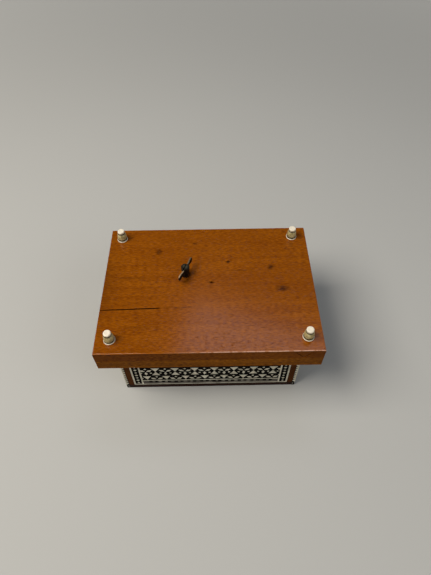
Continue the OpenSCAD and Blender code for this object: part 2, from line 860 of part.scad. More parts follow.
// Turned hub with a wider head, slotted for the wings and bored for the arbor
module key_hub() {
    r = key_hub_d / 2;
    neck = key_neck_d / 2;
    h = key_h - key_gap;
    color("#46403a") translate([key_x, key_y, z_top + key_gap]) difference() {
        rotate_extrude() polygon([
            [0, 0], [neck - key_ease, 0], [neck, key_ease], [neck, h - key_head_l - key_ease], [r, h - key_head_l],
            [r, h - key_ease], [r - key_ease, h], [0, h]
        ]);
        translate([0, 0, -1]) cylinder(h = key_arbor_end - base_t - key_gap + 1.1, r = arbor_r + seat_gap);
        rotate([0, 0, key_angle]) translate([-r - 1, -key_wing_t / 2 - seat_gap, z_wings - z_top - key_gap - wing_half(0) - seat_gap])
            cube([2 * r + 2, key_wing_t + 2 * seat_gap, key_h]);
    }
}

// Winding arbor, threaded into the hub at one end, with the clutch drum at the other
module winding_arbor() {
    color("#8d8d90") in_movement() {
        translate([0, 0, -key_arbor_end]) cylinder(h = key_arbor_end + hub_top + 0.2 + drum_h, r = arbor_r);
        translate([0, 0, hub_top + 0.2]) cylinder(h = drum_h, r = hub_r);
        translate([0, 0, hub_top + 0.2 + drum_h]) cylinder(h = 0.5, r1 = arbor_r, r2 = arbor_r * 0.7);
    }
}

// Wrap spring that lets the arbor wind without turning the crown wheel back
module clutch_spring() {
    color("#77777b") in_movement() translate([0, 0, z_crown_root + 0.15])
        coil(hub_r + 0.1, clutch_wire, hub_top + 0.2 + drum_h - z_crown_root - 0.3, 4);
}

// ---- Movement, fixed pieces ----

module at_fixings(z) {
    for (p = fixings) translate([p[0], p[1], z]) children();
}

module bearing_block(x, width) {
    difference() {
        union() {
            block([x, -block_r, bed_t - 0.5], [x + width, block_r, axis_h]);
            translate([x, 0, axis_h]) rotate([0, 90, 0]) cylinder(h = width, r = block_r);
        }
        translate([x - 1, 0, axis_h]) rotate([0, 90, 0]) cylinder(h = width + 2, r = shaft_d / 2 + run_gap);
    }
}

// Cast bedplate with lugs, the comb's seat and the two bearings of the cylinder
module bedplate() {
    comb_x = [cyl_x - comb_margin, cyl_x + cyl_l + comb_margin];
    color("#8e8c86") in_movement() difference() {
        union() {
            linear_extrude(bed_t) {
                circle(r = barrel_r + 2.5);
                translate([0, -bed_y[0]]) square([bed_x, bed_y[0] + bed_y[1]]);
                translate([bed_x - 3, -bed_y[0] + 3]) square([6, bed_y[0] + bed_y[1] - 6]);
                for (y = [-bed_y[0] + 3, bed_y[1] - 3]) translate([bed_x, y]) circle(r = 3);
                translate([fixings[2][0], fixings[2][1]]) circle(r = 4.2);
                translate([fixings[2][0], fixings[2][1] - 4.2]) square([-fixings[2][0], 8.4]);
            }
            block([comb_x[0], -comb_back_y, 0], [comb_x[1], -comb_root_y + 0.2, z_comb]);
            bearing_block(bearing_x[0], bearing_x[1] - bearing_x[0]);
            bearing_block(right_bearing_x, bearing_w);
        }
        translate([0, 0, -1]) cylinder(h = bed_t + 2, r = arbor_r + run_gap);
        at_fixings(-1) cylinder(h = bed_t + 2, r = m_screw[0] + 0.15);
        translate([worm_x, worm_y, bed_t - 1.6]) cylinder(h = 2, r = pivot_r + run_gap);
        for (x = comb_screw_x)
            translate([cyl_x + x, -comb_screw_y, z_comb - 6.2]) cylinder(h = 8, r = c_screw[0] + seat_gap);
        at_bracket_screws(-1) cylinder(h = bed_t + 2, r = g_screw[0] + seat_gap);
        translate([cyl_x + cyl_l / 2 - 5, -10, -1]) linear_extrude(bed_t + 2) {
            square([10, 7]);
            for (x = [0, 10]) translate([x, 3.5]) circle(r = 3.5);
        }
    }
}

module movement_screws() {
    color("#9a9a9c") in_movement() at_fixings(bed_t) screw(m_screw, bed_t + fixing_l - 0.3);
}

// Drawn cup that holds the mainspring, open towards the bedplate
module spring_barrel() {
    color("#b9b9bb") in_movement() difference() {
        translate([0, 0, bed_t]) cylinder(h = barrel_h, r = barrel_r);
        translate([0, 0, bed_t - 1]) cylinder(h = barrel_h + 1 - barrel_wall, r = barrel_r - barrel_wall);
        translate([0, 0, bed_t]) cylinder(h = barrel_h + 1, r = arbor_r + run_gap);
    }
}

// Wound strip, from the arbor to the barrel's wall
module mainspring() {
    start = arbor_r + 0.3;
    last = barrel_r - barrel_wall - spring_t - 0.1;
    steps = 24 * spring_turns;
    function spiral_r(i) = start + (last - start) * i / steps;
    inner = [for (i = [0:steps]) polar(spiral_r(i), i * 15)];
    outer = [for (i = [steps:-1:0]) polar(spiral_r(i) + spring_t, i * 15)];
    color("#5d6166") in_movement() translate([0, 0, bed_t + 0.3])
        linear_extrude(barrel_h - barrel_wall - 0.6) polygon(concat(inner, outer));
}

// ---- Comb ----

// Steel comb: the slots grow deeper towards the bass teeth, which carry lead weights
module comb() {
    w = notes * note_pitch;
    color("#a9adb0") in_movement() translate([cyl_x, 0, z_comb]) difference() {
        union() {
            block([-comb_margin, -comb_back_y, 0], [w + comb_margin, -comb_root_y + 4.5, comb_t]);
            for (i = [0:notes - 1])
                block([(i + 0.5) * note_pitch - tooth_w / 2, -comb_root_y, comb_t * 0.35],
                      [(i + 0.5) * note_pitch + tooth_w / 2, -comb_tip_y, comb_t]);
            for (i = [0:floor(notes / 3)])
                block([(i + 0.5) * note_pitch - tooth_w / 2, -comb_tip_y - 3.4, -0.7],
                      [(i + 0.5) * note_pitch + tooth_w / 2, -comb_tip_y - 1.2, comb_t / 2]);
        }
        for (i = [0:notes])
            block([i * note_pitch - (note_pitch - tooth_w) / 2, -comb_root_y + 4.4 * i / notes, -1],
                  [i * note_pitch + (note_pitch - tooth_w) / 2, 0, comb_t + 1]);
        for (x = comb_screw_x) translate([x, -comb_screw_y, -1]) cylinder(h = comb_t + 2, r = c_screw[0] + 0.1);
    }
}

module comb_screws() {
    color("#b59a4e") in_movement() for (x = comb_screw_x)
        translate([cyl_x + x, -comb_screw_y, z_comb + comb_t]) screw(c_screw, comb_t + 5.8);
}

// ---- Cylinder train ----

// Brass tube closed at both ends, set with one track of pins for each note
module cylinder_body() {
    wall = 0.7;
    cap = 1.4;
    difference() {
        cylinder(h = cyl_l, r = cyl_r);
        translate([0, 0, cap]) cylinder(h = cyl_l - 2 * cap, r = cyl_r - wall);
        translate([0, 0, -1]) cylinder(h = cyl_l + 2, r = shaft_d / 2 + seat_gap);
        for (a = [0, 120, 240]) rotate(a) translate([cyl_r * 0.56, 0, -1]) cylinder(h = cyl_l + 2, r = 1.3);
    }
    for (i = [0:notes - 1], j = [0:pins_per_note - 1])
        rotate(i * 137.5 + j * 360 / pins_per_note + (i * j * 23) % 41)
            translate([cyl_r - wall / 2, 0, (i + 0.5) * note_pitch])
                rotate([0, 90, 0]) cylinder(h = pin_h + wall / 2, r = pin_r, $fn = 16);
}

module on_axis(y, x) {
    in_movement() translate([x, y, axis_h]) rotate([90, 0, 90]) children();
}

module cylinder_shell() {
    color("#c9a24a") on_axis(0, cyl_x) cylinder_body();
}

module cylinder_arbor() {
    color("#8d8d90") on_axis(0, arbor_end_x)
        cylinder(h = right_bearing_x + bearing_w + 0.4 - arbor_end_x, r = shaft_d / 2);
}

module cylinder_pinion() {
    color("#b8923f") on_axis(0, crown_r - crown_face / 2 - 0.1) linear_extrude(crown_face + 0.2)
        gear_outline(pinion_teeth, pinion_r - 0.7, pinion_r + 0.5, 0.7, 0.4, shaft_d / 2 + seat_gap);
}

module cylinder_gear() {
    r = gear_m * gear_teeth / 2;
    color("#c9a24a") on_axis(0, gear_x) linear_extrude(gear_w)
        gear_outline(gear_teeth, r - 0.36, r + 0.26, 0.42, 0.2, shaft_d / 2 + seat_gap);
}

// Crown wheel: teeth stand on the rim of a disc that runs on the winding arbor
module great_wheel() {
    color("#c9a24a") in_movement() {
        translate([0, 0, z_wheel]) linear_extrude(z_crown_root - z_wheel) difference() {
            circle(r = crown_r + crown_face / 2 + 0.4);
            circle(r = arbor_r + run_gap);
            for (a = [0:60:300]) rotate(a) translate([crown_r * 0.52, 0]) circle(r = 1.6);
        }
        translate([0, 0, z_wheel]) linear_extrude(hub_top - z_wheel) difference() {
            circle(r = hub_r);
            circle(r = arbor_r + run_gap);
        }
        for (i = [0:crown_teeth - 1]) rotate(i * 360 / crown_teeth)
            along_x(crown_r - crown_face / 2, crown_face)
                polygon([[-crown_root_w / 2, z_crown_root - 0.1], [crown_root_w / 2, z_crown_root - 0.1],
                         [crown_tip_w / 2, z_crown_tip], [-crown_tip_w / 2, z_crown_tip]]);
    }
}

// ---- Governor ----

module at_bracket_screws(z) {
    for (p = bracket_screws) translate([p[0], p[1], z]) children();
}

// Two legs joined by a bridge, which carry the wheel's arbor and the worm's upper pivot
module governor_bracket() {
    flange_t = 1.2;
    foot_r = 1.9;
    color("#b9b9bb") in_movement() difference() {
        union() {
            for (x = leg_x)
                along_x(x, leg_t) polygon([
                    [gov_y - 2.6, bed_t], [gov_y - 0.4, bed_t], [gov_y - 0.4, axis_h - 4.6],
                    [gov_y + 1.9, axis_h - 2.3], [gov_y + 1.9, bridge_z], [gov_y - 2.6, bridge_z]
                ]);
            translate([leg_x[0], gov_y - 2.6, bridge_z])
                cube([leg_x[1] + leg_t - leg_x[0], worm_y - gov_y + 4.4, leg_t]);
            for (i = [0, 1]) {
                translate([bracket_screws[i][0], bracket_screws[i][1], bed_t]) cylinder(h = flange_t, r = foot_r);
                near = min(bracket_screws[i][0], leg_x[i] + leg_t / 2);
                far = max(bracket_screws[i][0], leg_x[i] + leg_t / 2);
                translate([near, bracket_screws[i][1] - foot_r, bed_t]) cube([far - near, 2 * foot_r, flange_t]);
            }
        }
        at_bracket_screws(0) cylinder(h = bed_t + 3, r = g_screw[0] + 0.1);
        translate([leg_x[0] - 1, gov_y, axis_h]) rotate([0, 90, 0])
            cylinder(h = leg_x[1] - leg_x[0] + 4, r = gov_shaft_r + run_gap);
        translate([worm_x, worm_y, bridge_z - 1]) cylinder(h = leg_t + 2, r = pivot_r + run_gap);
    }
}

module governor_screws() {
    color("#b59a4e") in_movement() at_bracket_screws(bed_t + 1.2) screw(g_screw, bed_t + 0.8);
}

// Arbor of the governor wheel with its leaf pinion, which the cylinder's gear turns
module governor_arbor() {
    pinion = gear_m * leaf_teeth / 2;
    color("#8d8d90") on_axis(gov_y, gear_x) {
        translate([0, 0, -0.2]) cylinder(h = leg_x[1] + leg_t + 0.6 - gear_x, r = gov_shaft_r);
        rotate(180 / leaf_teeth) linear_extrude(gear_w)
            gear_outline(leaf_teeth, pinion - 0.5, pinion + 0.22, 0.34, 0.14, gov_shaft_r - 0.1);
    }
}

module governor_wheel() {
    r = gear_m * wheel_teeth / 2;
    color("#c9a24a") on_axis(gov_y, wheel_x) linear_extrude(wheel_w)
        gear_outline(wheel_teeth, r - 0.4, r + 0.24, 0.4, 0.16, gov_shaft_r + seat_gap);
}

// Outline of the worm at one level: a round core with the thread's crest on +x
function worm_outline(core, crest) = concat(
    [for (p = [[-66, 0], [-30, 1], [0, 1], [30, 1], [66, 0]]) polar(core + (crest - core) * p[1], p[0])],
    [for (a = [100:32:260]) polar(core, a)]
);

// Single-start worm on the fly's upright shaft, which has a pivot at each end
module governor_worm() {
    lead = PI * gear_m;
    turns = 7;
    core = worm_r - 0.45;
    color("#8d8d90") in_movement() translate([worm_x, worm_y, 0]) {
        translate([0, 0, fly_z]) cylinder(h = bridge_z - fly_z - 0.2, r = core - 0.1);
        translate([0, 0, bed_t - 1.4]) cylinder(h = bridge_z + leg_t - bed_t + 1.2, r = pivot_r);
        translate([0, 0, axis_h - lead * turns / 2]) rotate(-90)
            linear_extrude(lead * turns, twist = -360 * turns, slices = 12 * turns, $fn = 8)
                polygon(worm_outline(core, worm_r + 0.2));
    }
}

// Fly: two air-brake blades on a collar
module governor_fly() {
    blade_t = 0.5;
    color("#d8d2c0") in_movement() translate([worm_x, worm_y, fly_z]) difference() {
        union() {
            cylinder(h = fly_h, r = 1.3);
            block([-fly_r + 0.05, -blade_t / 2, 0.4], [fly_r - 0.05, blade_t / 2, fly_h]);
        }
        translate([0, 0, -1]) cylinder(h = fly_h + 2, r = worm_r - 0.55 + seat_gap);
    }
}

// ---- Stop ----

// Bent rod: the lid's pad pushes its tip, and its finger reaches the fly
module stop_rod() {
    guide = 3.6;
    color("#9a9a9c") {
        translate([rod_x, rod_y, rod_tip_z + rod_r]) {
            sphere(r = rod_r);
            cylinder(h = arm_z + guide - rod_tip_z - rod_r, r = rod_r);
        }
        translate([rod_x, rod_y, arm_z]) rotate([90, 0, 0]) cylinder(h = rod_y - arm_end_y, r = rod_r);
        translate([rod_x, arm_end_y, arm_z]) {
            sphere(r = rod_r);
            rotate([0, -90, 0]) cylinder(h = rod_x - finger_x, r = rod_r * 0.7);
        }
    }
}

module stop_spring() {
    low = arm_z + rod_r + 0.1;
    color("#77777b") translate([rod_x, rod_y, low]) coil(rod_r + 0.3, 0.45, z_board - low, 6);
}

// Flanged eyelet in the floor panel, in which the rod slides
module stop_bush() {
    flange_t = 0.4;
    low = z_floor - floor_pile_t;
    color("#b8923f") translate([rod_x, rod_y, low - flange_t]) difference() {
        union() {
            cylinder(h = flange_t, r = bush_r + 0.8);
            cylinder(h = flange_t + floor_pile_t + floor_t, r = bush_r);
        }
        translate([0, 0, -1]) cylinder(h = floor_t + floor_pile_t + 3, r = rod_r + run_gap + 0.03);
    }
}

// ---- Assembly ----

lid_board();
lid_edging();
lid_marquetry();
lid_inlay();
lid_side_marquetry();
lid_side_inlay();
lid_lining();
hinge_lid_leaves();
hinge_pins();
hinge_lid_screws();
front_board();
back_board();
left_board();
right_board();
front_marquetry();
back_marquetry();
left_marquetry();
right_marquetry();
front_inlay();
back_inlay();
left_inlay();
right_inlay();
wall_lining();
floor_panel();
floor_lining();
floor_battens();
front_rail();
back_rail();
left_rail();
right_rail();
base_board();
foot_front_left();
foot_front_right();
foot_back_left();
foot_back_right();
hinge_case_leaves();
hinge_case_screws();
bedplate();
spring_barrel();
mainspring();
comb();
comb_screws();
governor_bracket();
governor_screws();
movement_screws();
key_hub();
key_wings();
winding_arbor();
clutch_spring();
great_wheel();
cylinder_shell();  // cylinder
cylinder_arbor();
cylinder_pinion();
cylinder_gear();
governor_arbor();
governor_wheel();
governor_worm();
governor_fly();
stop_rod();
stop_spring();
stop_bush();
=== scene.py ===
# Inlaid musical jewellery box, lying on its lid with the key uppermost. Lengths in the
# tables are in millimetres, and grain directions are named by the axis they run along.
import json
import math

import bpy
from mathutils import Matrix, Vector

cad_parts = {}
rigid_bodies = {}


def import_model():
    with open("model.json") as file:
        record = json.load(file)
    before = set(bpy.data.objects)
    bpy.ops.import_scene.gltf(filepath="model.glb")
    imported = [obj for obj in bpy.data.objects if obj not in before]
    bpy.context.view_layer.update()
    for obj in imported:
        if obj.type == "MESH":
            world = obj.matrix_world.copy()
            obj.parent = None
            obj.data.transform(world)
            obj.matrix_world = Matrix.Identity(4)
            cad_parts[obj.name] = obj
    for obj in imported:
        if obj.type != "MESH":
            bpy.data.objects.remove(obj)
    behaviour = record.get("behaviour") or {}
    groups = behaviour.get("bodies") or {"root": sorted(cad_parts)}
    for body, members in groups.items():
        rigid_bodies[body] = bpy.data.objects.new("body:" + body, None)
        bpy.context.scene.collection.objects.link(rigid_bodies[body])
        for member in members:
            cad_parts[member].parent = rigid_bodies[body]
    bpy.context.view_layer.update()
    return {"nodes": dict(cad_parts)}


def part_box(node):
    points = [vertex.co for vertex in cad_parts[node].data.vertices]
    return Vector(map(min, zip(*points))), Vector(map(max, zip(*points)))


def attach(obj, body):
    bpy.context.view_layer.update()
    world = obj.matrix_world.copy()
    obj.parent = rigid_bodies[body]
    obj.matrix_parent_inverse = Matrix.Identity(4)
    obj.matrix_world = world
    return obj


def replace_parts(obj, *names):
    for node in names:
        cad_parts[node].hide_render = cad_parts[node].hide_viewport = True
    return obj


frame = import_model()
MM = 0.001
NODES = frame["nodes"]


# ---- Finishes ----

SMOOTH = {"interpolation_type": "SMOOTHSTEP"}
COLOURS = {"data_type": "RGBA"}
# A Mix node that blends colours gives its result at this output
MIXED = 2


def srgb(text):
    """An sRGB hex colour as linear red, green, blue and alpha."""
    parts = [int(text[i:i + 2], 16) / 255 for i in (1, 3, 5)]
    linear = [c / 12.92 if c <= 0.04045 else ((c + 0.055) / 1.055) ** 2.4 for c in parts]
    return (*linear, 1.0)


def feed(tree, made, inputs):
    """Sets a node's inputs, or links them. A node given as an input is read at its first
    output."""
    for name, value in inputs.items():
        if isinstance(value, bpy.types.Node):
            value = value.outputs[0]
        if isinstance(value, bpy.types.NodeSocket):
            tree.links.new(value, made.inputs[name])
        else:
            made.inputs[name].default_value = value


def node(tree, kind, inputs=None, stops=(), **settings):
    """Adds a shader node with its settings, inputs and, for a ramp, its (place, colour) stops."""
    made = tree.nodes.new("ShaderNode" + kind)
    for name, value in settings.items():
        setattr(made, name, value)
    feed(tree, made, inputs or {})
    if stops:
        ramp = made.color_ramp.elements
        while len(ramp) < len(stops):
            ramp.new(1.0)
        for step, (place, colour) in zip(ramp, stops):
            step.position = place
            step.color = srgb(colour)
    return made


def finish(name, **sockets):
    """A new material with its shader's constant sockets set, and what its pattern is built
    from: the material, its tree, its shader and the object's coordinates."""
    made = bpy.data.materials.new(name)
    made.use_nodes = True
    tree = made.node_tree
    shader = tree.nodes["Principled BSDF"]
    for socket, value in sockets.items():
        shader.inputs[socket.replace("_", " ")].default_value = value
    return made, tree, shader, node(tree, "TexCoord").outputs["Object"]


def streaks(tree, place, length, width, detail=3.0, turn=(0, 0, 0), distortion=0.0):
    """Noise drawn out along x after the turn: its grains are this long and this wide, in mm."""
    laid = node(tree, "Mapping", {"Vector": place, "Rotation": turn})
    scale = (1 / (length * MM), 1 / (width * MM), 1 / (width * MM))
    drawn = node(tree, "Mapping", {"Vector": laid, "Scale": scale})
    return node(tree, "TexNoise", {
        "Vector": drawn, "Scale": 1.0, "Detail": detail, "Distortion": distortion})


def patches(tree, place, spots):
    """A mask of soft oval patches: x, y, half length, half width and strength of each."""
    mask = None
    for x, y, half_x, half_y, strength in spots:
        centred = node(tree, "Mapping", {
            "Vector": place,
            "Location": (-x / half_x, -y / half_y, 0),
            "Scale": (1 / (half_x * MM), 1 / (half_y * MM), 0),
        })
        away = node(tree, "VectorMath", {0: centred}, operation="LENGTH").outputs["Value"]
        spot = node(tree, "MapRange", {0: away, 1: 0.15, 2: 1.0, 3: strength, 4: 0.0}, **SMOOTH)
        if mask is None:
            mask = spot
        else:
            mask = node(tree, "Math", {0: mask, 1: spot}, operation="MAXIMUM")
    return mask


GRAIN_TURN = {"x": (0, 0, 0), "y": (0, 0, math.radians(90)), "z": (0, math.radians(90), 0)}


def varnished_wood(name, along, dark, light, pore, marks=(), gloss=0.2, shine=0.35):
    """Straight-grained hardwood under old shellac: short fine flecks and open pores on slow
    figure, a clear gloss, and darker tones where the varnish has been handled."""
    made, tree, shader, place = finish(name, Specular_IOR_Level=shine)
    turn = GRAIN_TURN[along]
    figure = streaks(tree, place, 90, 6.0, detail=3, turn=turn, distortion=0.5)
    fibre = streaks(tree, place, 3.6, 0.7, detail=2, turn=turn)
    pores = streaks(tree, place, 2.8, 0.6, detail=2, turn=turn)
    pores = node(tree, "MapRange", {0: pores, 1: 0.55, 2: 0.7}, **SMOOTH)
    age = streaks(tree, place, 60, 34, detail=2, turn=turn)

    slow = node(tree, "Math", {0: figure, 1: 0.25}, operation="MULTIPLY")
    quick = node(tree, "Math", {0: fibre, 1: 0.75}, operation="MULTIPLY")
    tone = node(tree, "Math", {0: slow, 1: quick}, operation="ADD")
    wood = node(tree, "ValToRGB", {0: tone}, stops=[(0.38, dark), (0.62, light)])
    aged = node(tree, "MapRange", {0: age, 1: 0.35, 2: 0.7, 4: 0.3}, **SMOOTH)
    wood = node(tree, "Mix", {0: aged, 6: wood, 7: srgb(dark)}, **COLOURS).outputs[MIXED]
    filled = node(tree, "Math", {0: pores, 1: 0.42}, operation="MULTIPLY")
    wood = node(tree, "Mix", {0: filled, 6: wood, 7: srgb(pore)}, **COLOURS).outputs[MIXED]
    if marks:
        mottle = streaks(tree, place, 4.0, 1.2, detail=4, turn=turn)
        mottle = node(tree, "MapRange", {0: mottle, 1: 0.3, 2: 0.65, 3: 0.45}, **SMOOTH)
        soiled = patches(tree, place, marks)
        soiled = node(tree, "Math", {0: soiled, 1: mottle}, operation="MULTIPLY")
        wood = node(tree, "Mix", {0: soiled, 6: wood, 7: srgb(pore)}, **COLOURS).outputs[MIXED]

    sheen = node(tree, "MapRange", {
        0: fibre, 1: 0.3, 2: 0.7, 3: gloss, 4: gloss + 0.08}, **SMOOTH)
    open_pores = node(tree, "Math", {0: pores, 1: 0.15}, operation="MULTIPLY")
    dull = node(tree, "Math", {0: sheen, 1: open_pores}, operation="ADD")
    raised = node(tree, "Math", {0: fibre, 1: 0.5}, operation="MULTIPLY")
    relief = node(tree, "Math", {0: raised, 1: pores}, operation="SUBTRACT")
    bump = node(tree, "Bump", {"Height": relief, "Strength": 0.4, "Distance": 0.06 * MM})
    feed(tree, shader, {"Base Color": wood, "Roughness": dull, "Normal": bump})
    return made


def corner_painted_highlight():
    """The base board's front corner: pale in dashes towards its right end, a painted highlight
    on the rounded edge that is paler and a little rougher there, and sound at its left."""
    made, tree, shader, place = finish("mahogany_corner_painted_highlight", Specular_IOR_Level=0.4)
    x = node(tree, "SeparateXYZ", {0: place}).outputs[0]
    dashes = streaks(tree, place, 3.0, 40.0, detail=3)
    dashes = node(tree, "MapRange", {0: dashes, 1: 0.36, 2: 0.54, 3: 0.4}, **SMOOTH)
    rightward = node(tree, "MapRange", {0: x, 1: -45 * MM, 2: 25 * MM}, **SMOOTH)
    corner_highlight = node(tree, "Math", {0: dashes, 1: rightward}, operation="MULTIPLY")
    # Pale dashes: the painted highlight
    wood = node(tree, "Mix", {0: corner_highlight, 6: srgb("#93520a"), 7: srgb("#d0a690")}, **COLOURS)
    dull = node(tree, "MapRange", {0: corner_highlight, 1: 0.0, 2: 1.0, 3: 0.15, 4: 0.35}, **SMOOTH)
    feed(tree, shader, {"Base Color": wood.outputs[MIXED], "Roughness": dull})
    return made


def ebonised_ground():
    """Black-stained wood and filler between the bone, rubbed flat: near black with a brown
    cast, polished, with fine scratches across it."""
    made, tree, shader, place = finish("ebonised_wood_ground", Specular_IOR_Level=0.01)
    grain = streaks(tree, place, 9, 0.5, detail=4)
    scratch = streaks(tree, place, 7, 0.3, detail=2, turn=(0.3, 0.5, 0.6))
    scratch = node(tree, "MapRange", {0: scratch, 1: 0.62, 2: 0.72}, **SMOOTH)
    scratch = node(tree, "Math", {0: scratch, 1: 0.2}, operation="MULTIPLY")
    black = node(tree, "ValToRGB", {0: grain}, stops=[(0.3, "#020202"), (0.7, "#080605")])
    black = node(tree, "Mix", {0: scratch, 6: black, 7: srgb("#33291f")}, **COLOURS)
    dull = node(tree, "MapRange", {0: grain, 1: 0.3, 2: 0.7, 3: 0.34, 4: 0.5}, **SMOOTH)
    bump = node(tree, "Bump", {"Height": grain, "Strength": 0.2, "Distance": 0.05 * MM})
    feed(tree, shader, {"Base Color": black.outputs[MIXED], "Roughness": dull, "Normal": bump})
    return made


def bone_inlay(name, bands=(), ends=(1.0, 1.0)):
    """Sawn camel bone, polished flush: off-white, each small piece a little warmer, greyer
    or greener than the next, with fine marrow streaks and grime in its pores. In level
    bands, given as (low, high) in z, it is darker in clouds, up to their ends in x and y."""
    made, tree, shader, place = finish(name, Specular_IOR_Level=0.25)
    # The tiles are about 6 mm across, so each takes a tint of its own
    cells = node(tree, "TexVoronoi", {"Vector": place, "Scale": 1 / (6.2 * MM)}).outputs["Color"]
    tint = node(tree, "SeparateColor", {"Color": cells})
    bone = node(tree, "ValToRGB", {0: tint}, stops=[
        (0.0, "#b3ae9b"), (0.3, "#cdc6b0"), (0.55, "#ddd6c3"), (0.8, "#c3c2af"), (1.0, "#e8e1cf")])
    marrow = streaks(tree, place, 3.2, 0.35, detail=3, turn=(0.4, 0.7, 0.5))
    marrow = node(tree, "MapRange", {0: marrow, 1: 0.58, 2: 0.74}, **SMOOTH)
    veins = node(tree, "Math", {0: marrow, 1: 0.45}, operation="MULTIPLY")
    bone = node(tree, "Mix", {0: veins, 6: bone, 7: srgb("#8c8069")}, **COLOURS).outputs[MIXED]
    cloud = streaks(tree, place, 16, 12, detail=3)
    haze = node(tree, "MapRange", {0: cloud, 1: 0.45, 2: 0.75, 4: 0.35}, **SMOOTH)
    bone = node(tree, "Mix", {0: haze, 6: bone, 7: srgb("#9f9783")}, **COLOURS).outputs[MIXED]
    if bands:
        x, y, z = node(tree, "SeparateXYZ", {0: place}).outputs[:3]
        inside = []
        for across, end in zip((x, y), ends):
            away = node(tree, "Math", {0: across}, operation="ABSOLUTE")
            inside.append(node(tree, "Math", {0: away, 1: end}, operation="LESS_THAN"))
        along = node(tree, "Math", {0: inside[0], 1: inside[1]}, operation="MAXIMUM")
        for low, high in bands:
            above = node(tree, "MapRange", {0: z, 1: low - 0.5 * MM, 2: low}, **SMOOTH)
            below = node(tree, "MapRange", {
                0: z, 1: high, 2: high + 0.5 * MM, 3: 1.0, 4: 0.0}, **SMOOTH)
            band = node(tree, "Math", {0: above, 1: below}, operation="MULTIPLY")
            band_cloud = node(tree, "MapRange", {0: cloud, 1: 0.3, 2: 0.6, 3: 0.75}, **SMOOTH)
            band_darkening = node(tree, "Math", {0: band, 1: band_cloud}, operation="MULTIPLY")
            band_darkening = node(tree, "Math", {0: band_darkening, 1: along}, operation="MULTIPLY")
            bone = node(tree, "Mix", {0: band_darkening, 6: bone, 7: srgb("#362d22")}, **COLOURS)
            bone = bone.outputs[MIXED]
    dull = node(tree, "MapRange", {0: marrow, 1: 0.0, 2: 1.0, 3: 0.3, 4: 0.5}, **SMOOTH)
    sunk = {"Height": marrow, "Strength": 0.3, "Distance": 0.03 * MM}
    bump = node(tree, "Bump", sunk, invert=True)
    feed(tree, shader, {"Base Color": bone, "Roughness": dull, "Normal": bump})
    return made


def turned_bone(root):
    """Lathe-turned bone on a flange that stands at the height root: ivory, polished, with a
    painted highlight on the button and the flange's rim, upright fibres, a tan mottle where
    the barrel is handled, and painted shade in its two grooves."""
    made, tree, shader, place = finish(
        "turned_bone", Specular_IOR_Level=0.45, Coat_Weight=0.2, Coat_Roughness=0.2)
    fibre = streaks(tree, place, 6, 0.45, detail=3, turn=GRAIN_TURN["z"])
    mottle = streaks(tree, place, 2.2, 1.5, detail=4)
    level = node(tree, "SeparateXYZ", {0: place}).outputs[2]
    height = node(tree, "Math", {0: level, 1: root}, operation="SUBTRACT")
    bone = node(tree, "ValToRGB", {0: fibre}, stops=[(0.32, "#a4955f"), (0.62, "#cec191")])
    tan = node(tree, "MapRange", {0: mottle, 1: 0.42, 2: 0.62, 4: 0.65}, **SMOOTH)
    bone = node(tree, "Mix", {0: tan, 6: bone, 7: srgb("#756636")}, **COLOURS).outputs[MIXED]
    # The button and the flange's rim are painted pale as a highlight
    button = node(tree, "MapRange", {0: height, 1: 8.6 * MM, 2: 10.8 * MM}, **SMOOTH)
    rim = node(tree, "MapRange", {0: height, 1: 0.95 * MM, 2: 1.1 * MM, 3: 1.0, 4: 0.0}, **SMOOTH)
    foot_highlight = node(tree, "Math", {0: button, 1: rim}, operation="MAXIMUM")
    bone = node(tree, "Mix", {0: foot_highlight, 6: bone, 7: srgb("#f4ecd8")}, **COLOURS).outputs[MIXED]
    # Each groove from its lower lip to its upper one, and how far its painted shade spreads above
    for low, high, reach in [(1.1, 1.5, 1.4), (7.9, 8.8, 0.45)]:
        above = node(tree, "MapRange", {0: height, 1: (low - 0.08) * MM, 2: low * MM}, **SMOOTH)
        below = node(tree, "MapRange", {
            0: height, 1: high * MM, 2: (high + reach) * MM, 3: 0.95, 4: 0.0}, **SMOOTH)
        groove_shade = node(tree, "Math", {0: above, 1: below}, operation="MULTIPLY")
        bone = node(tree, "Mix", {0: groove_shade, 6: bone, 7: srgb("#35270f")}, **COLOURS).outputs[MIXED]
    dull = node(tree, "MapRange", {0: fibre, 1: 0.3, 2: 0.7, 3: 0.42, 4: 0.28}, **SMOOTH)
    bump = node(tree, "Bump", {"Height": fibre, "Strength": 0.25, "Distance": 0.05 * MM})
    feed(tree, shader, {"Base Color": bone, "Roughness": dull, "Normal": bump})
    return made


def cotton_velvet():
    """Cut cotton pile on card: deep red that pales at the edges of the nap, with brushed
    patches where the pile leans another way. The pile is drawn four times coarser than
    its 0.1 mm so that it shows."""
    made, tree, shader, place = finish(
        "cotton_velvet", Roughness=0.92, Specular_IOR_Level=0.2, Sheen_Weight=0.9,
        Sheen_Roughness=0.38, Sheen_Tint=srgb("#ff9aa6"))
    pile = node(tree, "TexNoise", {"Vector": place, "Scale": 1 / (0.4 * MM), "Detail": 2.0})
    nap = streaks(tree, place, 30, 18, detail=2, distortion=0.3)
    red = node(tree, "ValToRGB", {0: pile}, stops=[(0.3, "#5a0812"), (0.7, "#94162a")])
    brushed = node(tree, "MapRange", {0: nap, 1: 0.35, 2: 0.7, 4: 0.35}, **SMOOTH)
    red = node(tree, "Mix", {0: brushed, 6: red, 7: srgb("#a81f35")}, **COLOURS)
    bump = node(tree, "Bump", {"Height": pile, "Strength": 0.5, "Distance": 0.15 * MM})
    feed(tree, shader, {"Base Color": red.outputs[MIXED], "Normal": bump})
    return made


